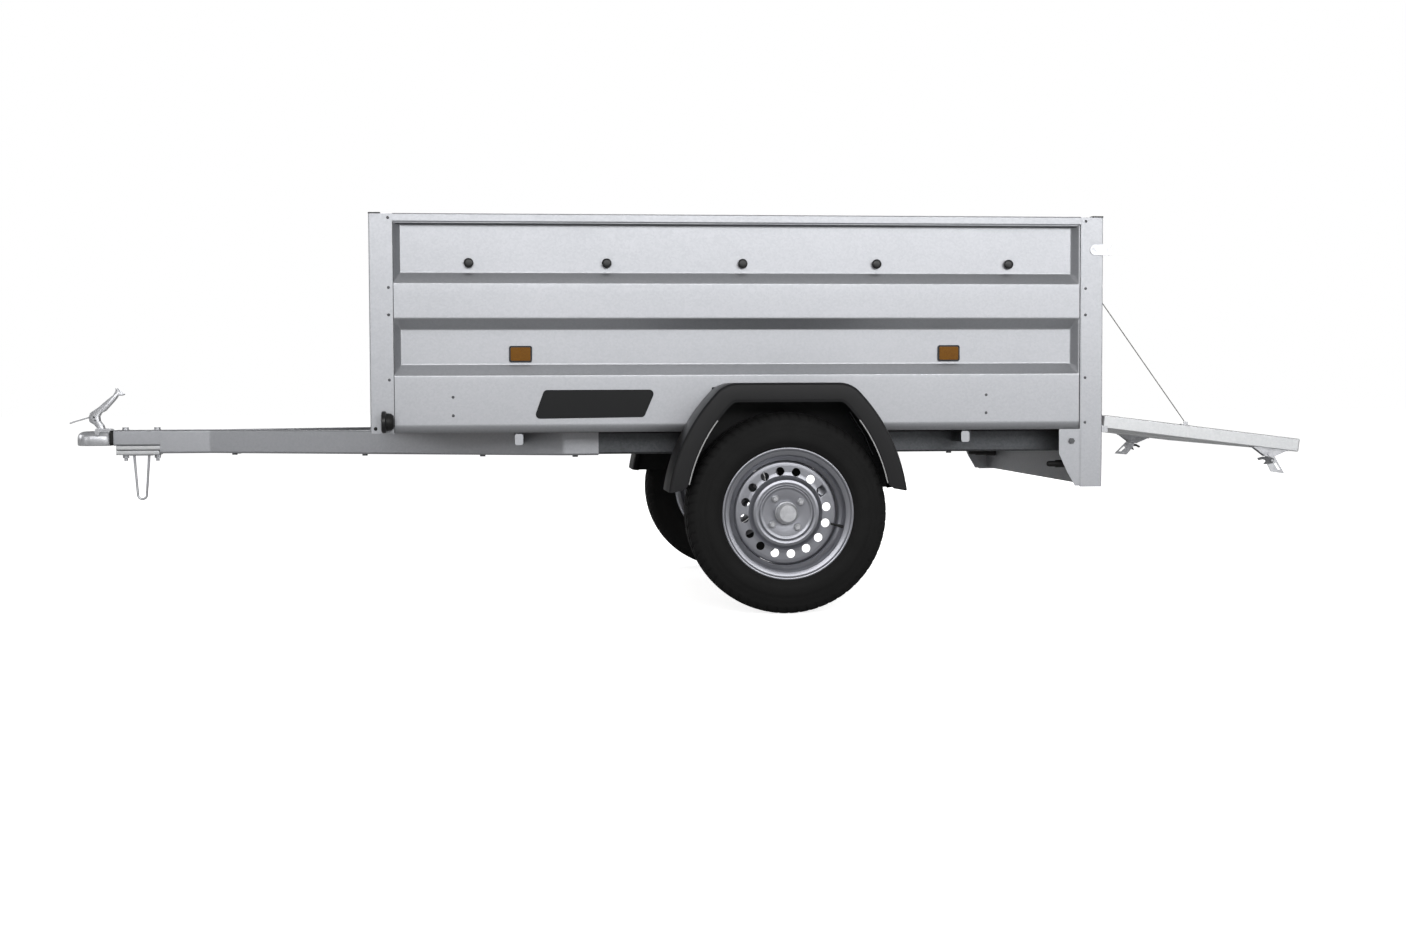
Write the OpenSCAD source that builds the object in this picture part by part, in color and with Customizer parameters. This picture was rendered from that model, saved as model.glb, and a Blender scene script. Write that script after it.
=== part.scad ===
// Single-axle galvanised box trailer with its tailgate lowered.
// X runs along the trailer, drawbar at -X and tailgate at +X. Y runs across it, with the near side
// at -Y. Z is up and the wheels stand on z = 0. Sizes are millimetres.
// Far pieces are the near pieces mirrored in the XZ plane.

/* [Box] */
// Outer length of the box, front post to rear post
box_l = 2072; // [1500:10:3000]
// Outer width of the box
box_w = 1150; // [900:10:1500]
// Height of the sides
side_h = 603; // [350:5:900]
// Height of the underside of the box above the ground
deck_z = 500; // [440:5:620]
// Distance from the front of the box to the wheel axis
front_to_axle = 1135; // [850:5:1600]
// Width of a corner post, seen from the side
post_w = 66; // [40:1:100]
// Thickness of the box sheet steel
sheet = 2; // [1:0.5:4]
// Depth of the pressed recesses
recess_d = 25; // [12:1:32]
// Thickness of the floor board
floor_t = 12; // [9:1:21]

/* [Chassis] */
// Height of the drawbar legs and side rails
beam_h = 70; // [50:1:100]
// Width of their flanges
beam_flange = 30; // [22:1:32]
// Thickness of their steel
beam_t = 3; // [2:0.5:5]
// Half the distance between the outer faces of the side rails
rail_y = 430; // [350:5:480]
// Length of the drawbar, front of the box to the front end of the legs
drawbar_l = 655; // [450:5:1100]
// Side of the square axle tube
axle_tube = 60; // [50:1:80]
// Distance of the axle tube in front of the wheel axis
arm_back = 150; // [120:1:180]
// Height of the axle tube above the wheel axis
arm_rise = 82; // [60:1:110]

/* [Wheels] */
// Outer diameter of the tyre
tyre_d = 556; // [500:1:640]
// Width of the tyre
tyre_w = 146; // [125:1:185]
// Diameter of the rim flange
flange_d = 365; // [330:1:400]
// Gap between the side of the box and the tyre
tyre_gap = 31; // [20:1:70]
// Number of vent holes in the wheel disc
vents = 16; // [8:1:20]
// Pitch circle of the wheel bolts
bolt_pcd = 100; // [98:1:115]

/* [Tailgate] */
// Length of the tailgate, hinge edge to free edge
gate_l = 600; // [350:5:900]
// Thickness of the tailgate
gate_t = 38; // [20:1:45]
// Angle by which the lowered tailgate droops below level
gate_droop = 7.1; // [0:0.1:15]
// Angle by which a latch lever stands out from hanging square to the tailgate
lever_rest = 40; // [10:1:45]

/* [Mudguards] */
// Width of the mudguard, across the trailer
guard_w = 179; // [160:1:220]
// Height of its outer flange
guard_band = 53; // [20:1:60]

/* [Hidden] */
$fn = 96;
half_w = box_w / 2;
top_z = deck_z + side_h;
wheel_r = tyre_d / 2;
box_x0 = -front_to_axle;
box_x1 = box_x0 + box_l;
leg_x0 = box_x0 - drawbar_l;
coupling_x = leg_x0 - 200;
nose_x = coupling_x - 66;
pivot_x = box_x1 + 8;
gate_tip_x = pivot_x + gate_l * cos(gate_droop) + (gate_t + 2) * sin(gate_droop);
// The middle of the whole trailer, which the frame's origin lies under
axle_x = -(gate_tip_x + nose_x) / 2;
tyre_y = half_w + tyre_gap + tyre_w / 2;
guard_y = half_w + 6 + guard_w;
beam_z = deck_z - beam_h;
tube_z = wheel_r + arm_rise;
rim_face = tyre_y + 67;
seat_y = tyre_y + 28;

// ---- Helpers ----

// Puts a piece, drawn with the wheel axis over x = 0, into the trailer's frame
module place() {
    translate([axle_x, 0, 0])
        children();
}

// The far copy of a near piece
module far() {
    mirror([0, 1, 0])
        children();
}

module both() {
    children();
    far()
        children();
}

function unit(v) = v / norm(v);
function left_of(a, b) = let (d = unit(b - a)) [-d[1], d[0]];
function mitre(p, i, d) = let (
        n = len(p) - 1,
        a = left_of(p[max(i - 1, 0)], p[max(i, 1)]),
        b = left_of(p[min(i, n - 1)], p[min(i + 1, n)])
    ) p[i] + d * (a + b) / (1 + a * b);
// Closed outline between two lines that run beside a path, d0 and d1 to its left
function ribbon(p, d0, d1) = concat(
    [for (i = [0 : len(p) - 1]) mitre(p, i, d0)],
    [for (i = [len(p) - 1 : -1 : 0]) mitre(p, i, d1)]);
function arc(c, r, a0, a1, n) = [for (i = [0 : n]) let (a = a0 + (a1 - a0) * i / n) c + r * [cos(a), sin(a)]];

// A prism along Y from y0 to y1, from an outline in X and Z
module slab(y0, y1, outline) {
    translate([0, y1, 0])
        rotate([90, 0, 0])
            linear_extrude(y1 - y0)
                polygon(outline);
}

module block(x0, x1, y0, y1, z0, z1) {
    translate([x0, y0, z0])
        cube([x1 - x0, y1 - y0, z1 - z0]);
}

// A round bar along Y
module rod_y(x, z, y0, y1, r) {
    translate([x, y1, z])
        rotate([90, 0, 0])
            cylinder(h = y1 - y0, r = r);
}

// A round bar along X
module rod_x(y, z, x0, x1, r) {
    translate([x0, y, z])
        rotate([0, 90, 0])
            cylinder(h = x1 - x0, r = r);
}

// A round bar from one point to another
module bar(a, b, r) {
    d = b - a;
    translate(a)
        rotate([0, acos(d[2] / norm(d)), atan2(d[1], d[0])])
            cylinder(h = norm(d), r = r);
}

// A channel that follows a path in plan, its web on the path and its flanges to the left
module channel(path, z0) {
    translate([0, 0, z0])
        linear_extrude(beam_h)
            polygon(ribbon(path, 0, beam_t));
    for (z = [z0, z0 + beam_h - beam_t])
        translate([0, 0, z])
            linear_extrude(beam_t)
                polygon(ribbon(path, 0, beam_flange));
}

// ---- Chassis ----

leg_y = 36;
leg_bend_x = leg_x0 + 150;
leg_end_x = -500;
leg_path = [[leg_x0, -leg_y], [leg_bend_x, -leg_y], [leg_end_x - 100, -rail_y], [leg_end_x, -rail_y]];
rail_bend_x = 585;
rail_end_x = box_x1 - 39;
rail_path = [[leg_end_x - 96, beam_t - rail_y], [rail_bend_x, beam_t - rail_y], [rail_end_x, -rail_y - 18]];

module drawbar_leg() {
    channel(leg_path, beam_z);
}

module drawbar_leg_near() {
    color("silver")
        place()
            drawbar_leg();
}

module drawbar_leg_far() {
    color("silver")
        place()
            far()
                drawbar_leg();
}

// The rail lies against the inside of the leg's rear end, one steel thickness lower and shorter
module side_rail() {
    h = beam_h - 2 * beam_t;
    z = beam_z + beam_t;
    translate([0, 0, z])
        linear_extrude(h)
            polygon(ribbon(rail_path, 0, beam_t));
    for (dz = [0, h - beam_t])
        translate([0, 0, z + dz])
            linear_extrude(beam_t)
                polygon(ribbon(rail_path, 0, beam_flange));
    block(leg_end_x, rail_end_x - 40, beam_t - rail_y, 2 * beam_t - rail_y + 20, z + h, deck_z);
}

module side_rail_near() {
    color("silver")
        place()
            side_rail();
}

module side_rail_far() {
    color("silver")
        place()
            far()
                side_rail();
}

cross_h = 35;
cross_w = 24;
outrigger_x = [-740, 530];

// A top-hat strut across the trailer, open below
module strut(x, y0, y1) {
    difference() {
        block(x, x + cross_w, y0, y1, deck_z - cross_h, deck_z);
        block(x + sheet, x + cross_w - sheet, y0 - 1, y1 + 1, deck_z - cross_h - 1, deck_z - sheet);
    }
}

module cross_member_front() {
    x = outrigger_x[0];
    y = leg_outer(x) - 1 - 1.08 * beam_t;
    color("silver")
        place()
            translate([0, 0, -2 * beam_t])
                strut(x, -y, y);
}

module cross_member_rear() {
    y = rail_y - 2 * beam_t;
    color("silver")
        place()
            translate([0, 0, -2 * beam_t])
                strut(outrigger_x[1], -y, y);
}

module floor_outriggers() {
    color("silver")
        place()
            both() {
                strut(outrigger_x[0], -half_w + 12, -leg_outer(outrigger_x[0] + cross_w));
                strut(outrigger_x[1], -half_w + 12, beam_t - rail_y);
            }
}

// Distance from the middle to a leg's outer face, at x
function leg_outer(x) = leg_y + (rail_y - leg_y) * (x - leg_bend_x) / (leg_end_x - 100 - leg_bend_x) + 1;

tube_end = half_w - 5;

module axle_tube() {
    color("silver")
        place()
            difference() {
                block(-arm_back - axle_tube / 2, -arm_back + axle_tube / 2, -tube_end, tube_end,
                    tube_z - axle_tube / 2, tube_z + axle_tube / 2);
                rod_y(-arm_back, tube_z, -tube_end - 1, tube_end + 1, axle_tube / 2 - 4);
            }
}

module axle_brackets() {
    z0 = tube_z + axle_tube / 2;
    z1 = beam_z + beam_t;
    y0 = beam_t - rail_y;
    color("silver")
        place()
            both() {
                block(-arm_back - 70, -arm_back + 70, y0, y0 + beam_flange, z1 - 4, z1);
                block(-arm_back - 50, -arm_back + 50, y0, y0 + beam_flange, z0, z0 + 4);
                block(-arm_back - 50, -arm_back - 45, y0, y0 + beam_flange, z0, z1);
                block(-arm_back + 45, -arm_back + 50, y0, y0 + beam_flange, z0, z1);
            }
}

arm_y0 = half_w - 3;
arm_t = 18;
stub_r = 17;

module swing_arm() {
    a = atan2(arm_rise, arm_back);
    rod_y(-arm_back, tube_z, -arm_y0 - arm_t, -arm_y0, 36);
    rod_y(-arm_back, tube_z, -arm_y0, -arm_y0 + 160, axle_tube / 2 - 4.05);
    rod_y(0, wheel_r, -arm_y0 - arm_t, -arm_y0, 28);
    translate([-arm_back, -arm_y0 - arm_t, tube_z])
        rotate([0, a, 0])
            translate([0, 1, -22])
                cube([norm([arm_back, arm_rise]), arm_t - 2, 44]);
    rod_y(0, wheel_r, -seat_y - 22, -arm_y0, stub_r);
}

module swing_arm_near() {
    color("silver")
        place()
            swing_arm();
}

module swing_arm_far() {
    color("silver")
        place()
            far()
                swing_arm();
}

// ---- Wheels ----

// Turns an outline of [radius, distance from the middle of the trailer] about the wheel's axis
module turned(outline) {
    translate([0, 0, wheel_r])
        rotate([90, 0, 0])
            rotate_extrude()
                polygon(outline);
}

cap_r = 28.6;

module hub() {
    turned([[stub_r + 0.05, arm_y0 + arm_t + 2], [34, arm_y0 + arm_t + 2], [34, seat_y - 10], [62, seat_y - 10],
        [62, seat_y], [cap_r + 2.9, seat_y], [cap_r + 2.9, seat_y + 6], [stub_r + 0.05, seat_y + 6]]);
    turned([[0, seat_y + 32], [0, seat_y + 35], [cap_r - 6, seat_y + 35], [cap_r, seat_y + 29],
        [cap_r, seat_y + 6], [stub_r + 3, seat_y + 6], [stub_r + 3, seat_y + 10], [cap_r - 3, seat_y + 10],
        [cap_r - 3, seat_y + 28], [cap_r - 7, seat_y + 32]]);
}

module hub_near() {
    color("gainsboro")
        place()
            hub();
}

module hub_far() {
    color("gainsboro")
        place()
            far()
                hub();
}

bead_r = flange_d / 2 - 17.5;
well_r = bead_r - 17;
rim_t = 4;

module rim() {
    disc = tyre_y + 16;
    difference() {
        union() {
            turned([[flange_d / 2, rim_face], [flange_d / 2, rim_face - 3], [flange_d / 2 - 9, rim_face - 8],
                [bead_r, rim_face - 10], [bead_r - 3, rim_face - 30], [well_r, rim_face - 40], [well_r, rim_face - 70],
                [bead_r - 3, rim_face - 84], [bead_r, rim_face - 124], [flange_d / 2 - 9, rim_face - 126],
                [flange_d / 2, rim_face - 131], [flange_d / 2, rim_face - 134], [flange_d / 2 - 12, rim_face - 131],
                [bead_r - rim_t, rim_face - 128], [bead_r - 3 - rim_t, rim_face - 86],
                [well_r - rim_t, rim_face - 72], [well_r - rim_t, rim_face - 38], [bead_r - 3 - rim_t, rim_face - 28],
                [bead_r - rim_t, rim_face - 7], [flange_d / 2 - 12, rim_face - 3]]);
            turned([[well_r - rim_t, disc], [well_r - rim_t, disc - rim_t - 6], [well_r - 12, disc - rim_t],
                [100, disc - rim_t], [92, disc + 10], [74, disc + 10], [64, seat_y], [cap_r + 3, seat_y],
                [cap_r + 3, seat_y + rim_t], [66, seat_y + rim_t], [76, disc + 10 + rim_t],
                [95, disc + 10 + rim_t], [104, disc], [well_r - 12, disc]]);
        }
        for (i = [0 : vents - 1])
            translate([0, 0, wheel_r])
                rotate([0, 360 / vents * i + 7.5, 0])
                    rod_y(115, 0, -disc - 20, -disc + 20, 12);
        for (i = [0 : 3])
            translate([0, 0, wheel_r])
                rotate([0, 90 * i + 52, 0])
                    rod_y(bolt_pcd / 2, 0, -seat_y - 20, -seat_y + 1, 6.1);
    }
}

module rim_near() {
    color("silver")
        place()
            rim();
}

module rim_far() {
    color("silver")
        place()
            far()
                rim();
}

module tyre() {
    m = tyre_y;
    w = tyre_w / 2;
    r = wheel_r;
    wall = r - bead_r;
    // Half of the outline, as [radius, distance from the tyre's middle], and its mirror image
    half = [[bead_r + 0.1, 38], [bead_r + 0.1, 54], [bead_r + 14, 56], [bead_r + 20, w - 8],
        [bead_r + 0.27 * wall, w - 1], [bead_r + 0.42 * wall, w], [bead_r + 0.61 * wall, w - 2],
        [bead_r + 0.82 * wall, w - 9], [r - 7, w - 17], [r - 2, w - 28]];
    inside = [[r - 13, w - 34], [bead_r + 0.79 * wall, w - 18], [bead_r + 0.42 * wall, w - 8],
        [bead_r + 16, 42]];
    turned(concat([for (p = half) [p[0], m + p[1]]], [[r, m]],
        [for (i = [len(half) - 1 : -1 : 0]) [half[i][0], m - half[i][1]]],
        [for (i = [len(inside) - 1 : -1 : 0]) [inside[i][0], m - inside[i][1]]], [[r - 11, m]],
        [for (p = inside) [p[0], m + p[1]]]));
}

module tyre_near() {
    color("dimgray")
        place()
            tyre();
}

module tyre_far() {
    color("dimgray")
        place()
            far()
                tyre();
}

module wheel_bolts() {
    for (i = [0 : 3])
        translate([0, 0, wheel_r])
            rotate([0, 90 * i + 52, 0]) {
                rod_y(bolt_pcd / 2, 0, -seat_y - rim_t, -seat_y, 6);
                rod_y(bolt_pcd / 2, 0, -seat_y - rim_t - 4, -seat_y - rim_t, 10);
                translate([bolt_pcd / 2, -seat_y - rim_t - 4, 0])
                    rotate([90, 0, 0])
                        cylinder(h = 9, r = 9.8, $fn = 6);
            }
}

module wheel_bolts_near() {
    color("gainsboro")
        place()
            wheel_bolts();
}

module wheel_bolts_far() {
    color("gainsboro")
        place()
            far()
                wheel_bolts();
}

// ---- Coupling ----

ball_z = 470;
tail_y = leg_y - beam_t;
tail_z0 = deck_z - 46;
head_x1 = leg_x0 - 144;
slot_y = 18.5;
handle_pivot = [leg_x0 - 180, deck_z - 8];
bolt_x = [leg_x0 - 106, leg_x0 - 13];

module coupling_body() {
    color("silver")
        place()
            difference() {
                union() {
                    translate([coupling_x, 0, tail_z0])
                        cylinder(h = 42, r = 46);
                    block(coupling_x, head_x1, -43, 43, tail_z0, tail_z0 + 46);
                    block(handle_pivot[0] - 12, head_x1, -26, 26, tail_z0, deck_z + 6);
                    block(head_x1, head_x1 + 10, -38, 38, tail_z0, deck_z);
                    block(head_x1 + 10, leg_x0, -tail_y, tail_y, tail_z0, deck_z);
                    block(leg_x0, leg_bend_x - 20, -tail_y, tail_y, tail_z0, deck_z - beam_t);
                }
                translate([coupling_x, 0, ball_z])
                    sphere(r = 25.5);
                translate([coupling_x, 0, tail_z0 - 1])
                    cylinder(h = ball_z - tail_z0 + 1, r = 25.5);
                block(coupling_x + 4, head_x1 - 4, -slot_y, slot_y, deck_z - 26, deck_z + 7);
                block(head_x1 + 4, leg_bend_x, -tail_y + 4, tail_y - 4, tail_z0 + 4, deck_z - 4);
                for (x = bolt_x)
                    translate([x, 0, tail_z0 - 1])
                        cylinder(h = 60, r = 5.1);
                rod_y(handle_pivot[0], handle_pivot[1], -60, 60, 4.05);
            }
}

// Side outline of the raised handle, and the line that its back follows
handle_back = [[14, 9], [10, 22], [0, 36], [-2, 49], [4, 60], [16, 66], [34, 86], [50, 105], [53, 112],
    [64, 111], [72, 114]];
handle_side = [[50, 127], [42, 113], [18, 94], [0, 78], [-26, 60], [-30, 46], [-28, 33], [-15, 25],
    [-6, 14], [-3, -12], [8, -12], [14, 0], [14, 9], [10, 22], [0, 36], [-2, 49], [4, 60], [16, 66],
    [34, 86], [50, 105], [53, 112], [64, 111], [72, 114], [70, 118]];
handle_w = 17;

module coupling_handle() {
    outline = [for (p = handle_side) p + handle_pivot];
    back = [for (p = handle_back) p + handle_pivot];
    color("gainsboro")
        place()
            difference() {
                union() {
                    slab(-handle_w, 3 - handle_w, outline);
                    slab(handle_w - 3, handle_w, outline);
                    slab(-handle_w, handle_w, ribbon(back, 0, 3));
                    rod_y(handle_pivot[0], handle_pivot[1], -handle_w, handle_w, 9);
                }
                rod_y(handle_pivot[0], handle_pivot[1], -30, 30, 4.3);
                rod_y(handle_pivot[0] + 53, handle_pivot[1] + 120, -30, 30, 4);
            }
}

module handle_pin() {
    color("gainsboro")
        place() {
            rod_y(handle_pivot[0], handle_pivot[1], -46.5, 46.5, 4);
            both()
                rod_y(handle_pivot[0], handle_pivot[1], -49, -46.5, 7);
        }
}

catch_pivot = [handle_pivot[0] - 22, deck_z + 41];

module safety_catch() {
    path = [[-66, -20], [-52, -15], [-14, -4], [4, 2]];
    p = [for (q = path) q + catch_pivot];
    color("gainsboro")
        place() {
            difference() {
                union() {
                    slab(-6, 6, ribbon(p, -2, 2));
                    rod_y(catch_pivot[0], catch_pivot[1], -6, 6, 5);
                }
                rod_y(catch_pivot[0], catch_pivot[1], -10, 10, 2.5);
            }
            rod_y(catch_pivot[0], catch_pivot[1], 3 - handle_w, handle_w - 3, 2.5);
        }
}

module clamp_block() {
    color("silver")
        place()
            difference() {
                union() {
                    block(head_x1 + 15, leg_x0, -tail_y, tail_y, tail_z0 - 28, tail_z0);
                    block(leg_x0, leg_bend_x - 20, -tail_y, tail_y, beam_z + beam_t, tail_z0);
                }
                block(head_x1 + 14, leg_bend_x, 4 - tail_y, tail_y - 4, tail_z0 - 16, tail_z0 - 4);
                for (x = bolt_x)
                    translate([x, 0, tail_z0 - 30])
                        cylinder(h = 40, r = 5.1);
            }
}

module coupling_bolts() {
    color("gainsboro")
        place()
            for (x = bolt_x)
                translate([x, 0, 0]) {
                    translate([0, 0, tail_z0 - 48])
                        cylinder(h = 94, r = 5);
                    translate([0, 0, deck_z])
                        cylinder(h = 7, r = 9.2, $fn = 6);
                }
}

module coupling_nuts() {
    color("gainsboro")
        place()
            for (x = bolt_x)
                translate([x, 0, tail_z0 - 38])
                    difference() {
                        cylinder(h = 10, r = 9.2, $fn = 6);
                        translate([0, 0, -1])
                            cylinder(h = 12, r = 5);
                    }
}

prop_r = 3.75;
prop_x = leg_x0 - 60;
prop_z = 305;
prop_bend = 13;
prop_foot = 22;

// A rod bent to a narrow U that hangs from a plate under the clamp block
module prop_stand() {
    top = tail_z0 - 28;
    lean = atan2(prop_foot - prop_bend, top - prop_z);
    path = concat([[prop_x - prop_foot, top - 1]], arc([prop_x, prop_z], prop_bend, 180 + lean, 360 - lean, 8),
        [[prop_x + prop_foot, top - 1]]);
    color("gainsboro")
        place() {
            slab(-prop_r, prop_r, ribbon(path, -prop_r, prop_r));
            block(prop_x - 34, prop_x + 34, -9, 9, top - 3, top);
        }
}

// Screws that hold the chassis together, seen under the flanges, and those of the gussets
module frame_bolts() {
    color("gainsboro")
        place()
            both() {
                for (p = [[leg_bend_x + 70, 1], [box_x0 - 40, 1], [-830, 1]])
                    translate([p[0], -leg_outer(p[0]) + 20, beam_z - 5])
                        cylinder(h = 5, r = 8, $fn = 6);
                for (x = [-566, 528])
                    translate([x, -rail_y + 22, beam_z - 5 + (x > 0 ? beam_t : 0)])
                        cylinder(h = 5, r = 8, $fn = 6);
                translate([box_x1 - 90, -half_w + sheet, deck_z - 34])
                    rotate([90, 0, 0])
                        cylinder(h = 6, r = 9, $fn = 6);
            }
}

// ---- Box ----

skin_y = half_w - sheet;
rail_lip = 20;
run_z = 29;
run_x = 18;

// A recess pressed into a side: a frustum whose back is recess_d behind the skin.
// Its open face is in the plane y = -skin_y, from x0 to x1 and from z0 to z1.
module pan(x0, x1, z0, z1, run_top, grow) {
    y0 = -skin_y - (grow > 0 ? 0 : 1);
    y1 = -skin_y + recess_d + grow;
    a = [[y0, z0 - grow], [-skin_y, z0 - grow], [y1, z0 + run_z - grow], [y1, z1 - run_top + grow],
        [-skin_y, z1 + grow], [y0, z1 + grow]];
    b = [[x0 - grow, y0], [x0 - grow, -skin_y], [x0 + run_x - grow, y1], [x1 - run_x + grow, y1],
        [x1 + grow, -skin_y], [x1 + grow, y0]];
    intersection() {
        translate([x0 - grow - 1, 0, 0])
            rotate([90, 0, 90])
                linear_extrude(x1 - x0 + 2 * grow + 2)
                    polygon(a);
        translate([0, 0, z0 - grow - 1])
            linear_extrude(z1 - z0 + 2 * grow + 2)
                polygon(b);
    }
}

module side_panel() {
    x0 = box_x0 + post_w;
    x1 = box_x1 - post_w;
    z_up = [deck_z + side_h * 0.686, top_z - 26];
    z_lo = [deck_z + 159, deck_z + side_h * 0.524];
    difference() {
        union() {
            block(x0 - 30, x1 + 30, -skin_y, sheet - skin_y, deck_z, top_z);
            pan(x0, x1 - 4, z_up[0], z_up[1], 3, sheet);
            pan(x0, x1 - 4, z_lo[0], z_lo[1], run_z, sheet);
            block(x0 - 30, x1 + 30, -skin_y, 42 - skin_y, deck_z, deck_z + sheet);
            block(x0 - 30, x1 + 30, -skin_y, 30 - skin_y, top_z - sheet, top_z);
            block(x0 - 30, x1 + 30, 28 - skin_y, 30 - skin_y, top_z - rail_lip - 5, top_z);
            block(x0, x1, -half_w, -skin_y, top_z - rail_lip, top_z);
        }
        pan(x0, x1 - 4, z_up[0], z_up[1], 3, 0);
        pan(x0, x1 - 4, z_lo[0], z_lo[1], run_z, 0);
    }
}

module side_panel_near() {
    color("silver")
        place()
            side_panel();
}

module side_panel_far() {
    color("silver")
        place()
            far()
                side_panel();
}

module front_panel() {
    x0 = box_x0 + sheet;
    y = half_w - 42;
    color("silver")
        place()
            difference() {
                union() {
                    block(x0, x0 + sheet, -y - 30, y + 30, deck_z, top_z);
                    block(x0, x0 + 33, -y, y, deck_z, deck_z + sheet);
                    block(x0, x0 + 30, -y, y, top_z - sheet, top_z);
                    block(x0 + 28, x0 + 30, -y, y, top_z - rail_lip - 5, top_z);
                    block(x0, x0 + recess_d + sheet, -y - sheet, y + sheet, deck_z + 159, deck_z + 315);
                    block(x0, x0 + recess_d + sheet, -y - sheet, y + sheet, deck_z + 413, top_z - 26);
                }
                block(x0 - 1, x0 + recess_d, -y, y, deck_z + 159 + sheet, deck_z + 315 - sheet);
                block(x0 - 1, x0 + recess_d, -y, y, deck_z + 413 + sheet, top_z - 26 - sheet);
            }
}

module front_post() {
    difference() {
        block(box_x0, box_x0 + post_w, -half_w, -half_w + 40, deck_z, top_z);
        block(box_x0 + sheet, box_x0 + post_w + 1, -skin_y, -half_w + 41, deck_z - 1, top_z + 1);
    }
}

module front_post_near() {
    color("silver")
        place()
            front_post();
}

module front_post_far() {
    color("silver")
        place()
            far()
                front_post();
}

tail_depth = 166;

module rear_post() {
    difference() {
        block(box_x1 - post_w, box_x1, -half_w, -half_w + 33, deck_z - tail_depth, top_z);
        block(box_x1 - post_w - 1, box_x1 - sheet, -skin_y, -half_w + 34, deck_z - tail_depth - 1, top_z + 1);
    }
}

module rear_post_near() {
    color("silver")
        place()
            rear_post();
}

module rear_post_far() {
    color("silver")
        place()
            far()
                rear_post();
}

module post_caps() {
    color("black")
        place()
            both() {
                block(box_x0 - 1, box_x0 + 32, -half_w - 1, -half_w + 31, top_z, top_z + 4);
                block(box_x1 - 32, box_x1 + 1, -half_w - 1, -half_w + 31, top_z, top_z + 4);
            }
}

module floor_board() {
    color("burlywood")
        place()
            block(box_x0 + 2 * sheet, box_x1 - 37, -skin_y + recess_d + sheet, skin_y - recess_d - sheet,
                deck_z + sheet, deck_z + sheet + floor_t);
}

knobs = 5;
pan_y = skin_y - recess_d;

module tarp_knobs() {
    pitch = (box_l - 2 * post_w) * 0.197;
    mid = (box_x0 + box_x1) / 2;
    color("black")
        place()
            both()
                for (i = [0 : knobs - 1])
                    translate([mid + pitch * (i - (knobs - 1) / 2), -pan_y, top_z - 133])
                        rotate([90, 0, 0]) {
                            cylinder(h = 8, r = 8);
                            translate([0, 0, 8])
                                cylinder(h = 6, r = 13.5);
                        }
}

module rivets() {
    r = 4;
    color("gainsboro")
        place()
            both() {
                for (x = [box_x0 + 53, box_x1 - 51])
                    for (z = [147, 326, 401, 592])
                        rod_y(x, deck_z + z, -half_w - 1.5, -half_w, r);
                for (x = [box_x0 + 226, box_x1 - 340])
                    for (z = [48, 99])
                        rod_y(x, deck_z + z, -skin_y - 1.5, -skin_y, r);
                rod_y(box_x0 + 14, deck_z + 13, -half_w - 2.5, -half_w, 5);
                rod_y(box_x1 - 51, deck_z + 19, -half_w - 1.5, -half_w, r);
            }
}

module side_reflectors() {
    color("orange")
        place()
            both()
                for (x = [box_x0 + 413, box_x1 - 444])
                    block(x - 32, x + 32, -pan_y - 6, -pan_y, deck_z + 195, deck_z + 241);
}

module sign_plates() {
    color("dimgray")
        place()
            both()
                slab(-skin_y - 1.5, -skin_y, [for (p = [[-170, -40], [137, -37], [170, 40], [-141, 40]])
                    p + [box_x0 + 618, deck_z + 78]]);
}

module marker_lamps() {
    x = box_x0 + 32;
    y = -half_w - 31;
    z = deck_z + 32;
    color("black")
        place()
            both() {
                rod_x(y, z, x, x + 13, 30);
                rod_x(y, z, x + 13, x + 35, 23);
                block(x + 16, x + 32, y, -half_w, z - 12, z + 12);
            }
}

// ---- Rear ----

panel_x = box_x1 - 37;

module rear_light_panel() {
    color("silver")
        place() {
            block(panel_x, panel_x + sheet, -skin_y, skin_y, deck_z - tail_depth + 5, deck_z);
            block(panel_x, panel_x + 22, -skin_y + 40, skin_y - 40, deck_z - tail_depth + 5,
                deck_z - tail_depth + 7);
        }
}

module gussets() {
    z0 = deck_z - tail_depth;
    color("silver")
        place()
            both()
                slab(-skin_y, 3 - skin_y, [[box_x1 - 126, deck_z], [box_x1 - 126, deck_z - 70],
                    [box_x1 - 102, deck_z - 122], [box_x1 - 78, z0 + 3], [panel_x, z0 + 3], [panel_x, deck_z]]);
}

module rear_lamps() {
    color("darkred")
        place()
            both() {
                block(panel_x + sheet, box_x1 - 3, -half_w + 40, -half_w + 170, deck_z - 130, deck_z - 40);
                rod_x(-half_w + 110, deck_z - 104, panel_x - 46, panel_x, 13);
            }
}

module number_plate_holder() {
    color("dimgray")
        place()
            block(panel_x + sheet, panel_x + sheet + 3, -260, 260, deck_z - 136, deck_z - 22);
}

module hook_brackets() {
    z = top_z - 92;
    color("gainsboro")
        place()
            both() {
                block(box_x1 - 24, box_x1 + 22, -half_w - 3, -half_w, z - 15, z + 15);
                rod_y(box_x1 - 24, z, -half_w - 3, -half_w, 15);
                rod_y(box_x1 - 22, z, -half_w - 5, -half_w - 3, 4);
                block(box_x1 + 19, box_x1 + 22, -half_w - 3, -half_w + 14, z - 15, z + 15);
            }
}

pin_r = 5;
pivot_z = deck_z;

module hinge_brackets() {
    color("gainsboro")
        place()
            both() {
                block(box_x1, pivot_x + 9, -skin_y, 4 - skin_y, pivot_z - 9, pivot_z + 9);
                rod_y(pivot_x, pivot_z, 4 - skin_y, -half_w + 80, pin_r);
            }
}

stud = [box_x1 - 41, deck_z + 435];
stud_r = 4;
wire_y = half_w - 43;

module wire_studs() {
    color("gainsboro")
        place()
            both() {
                rod_y(stud[0], stud[1], sheet - skin_y, -wire_y + 4, stud_r);
                rod_y(stud[0], stud[1], -wire_y + 4, -wire_y + 6, 8);
            }
}

// ---- Tailgate ----

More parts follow.
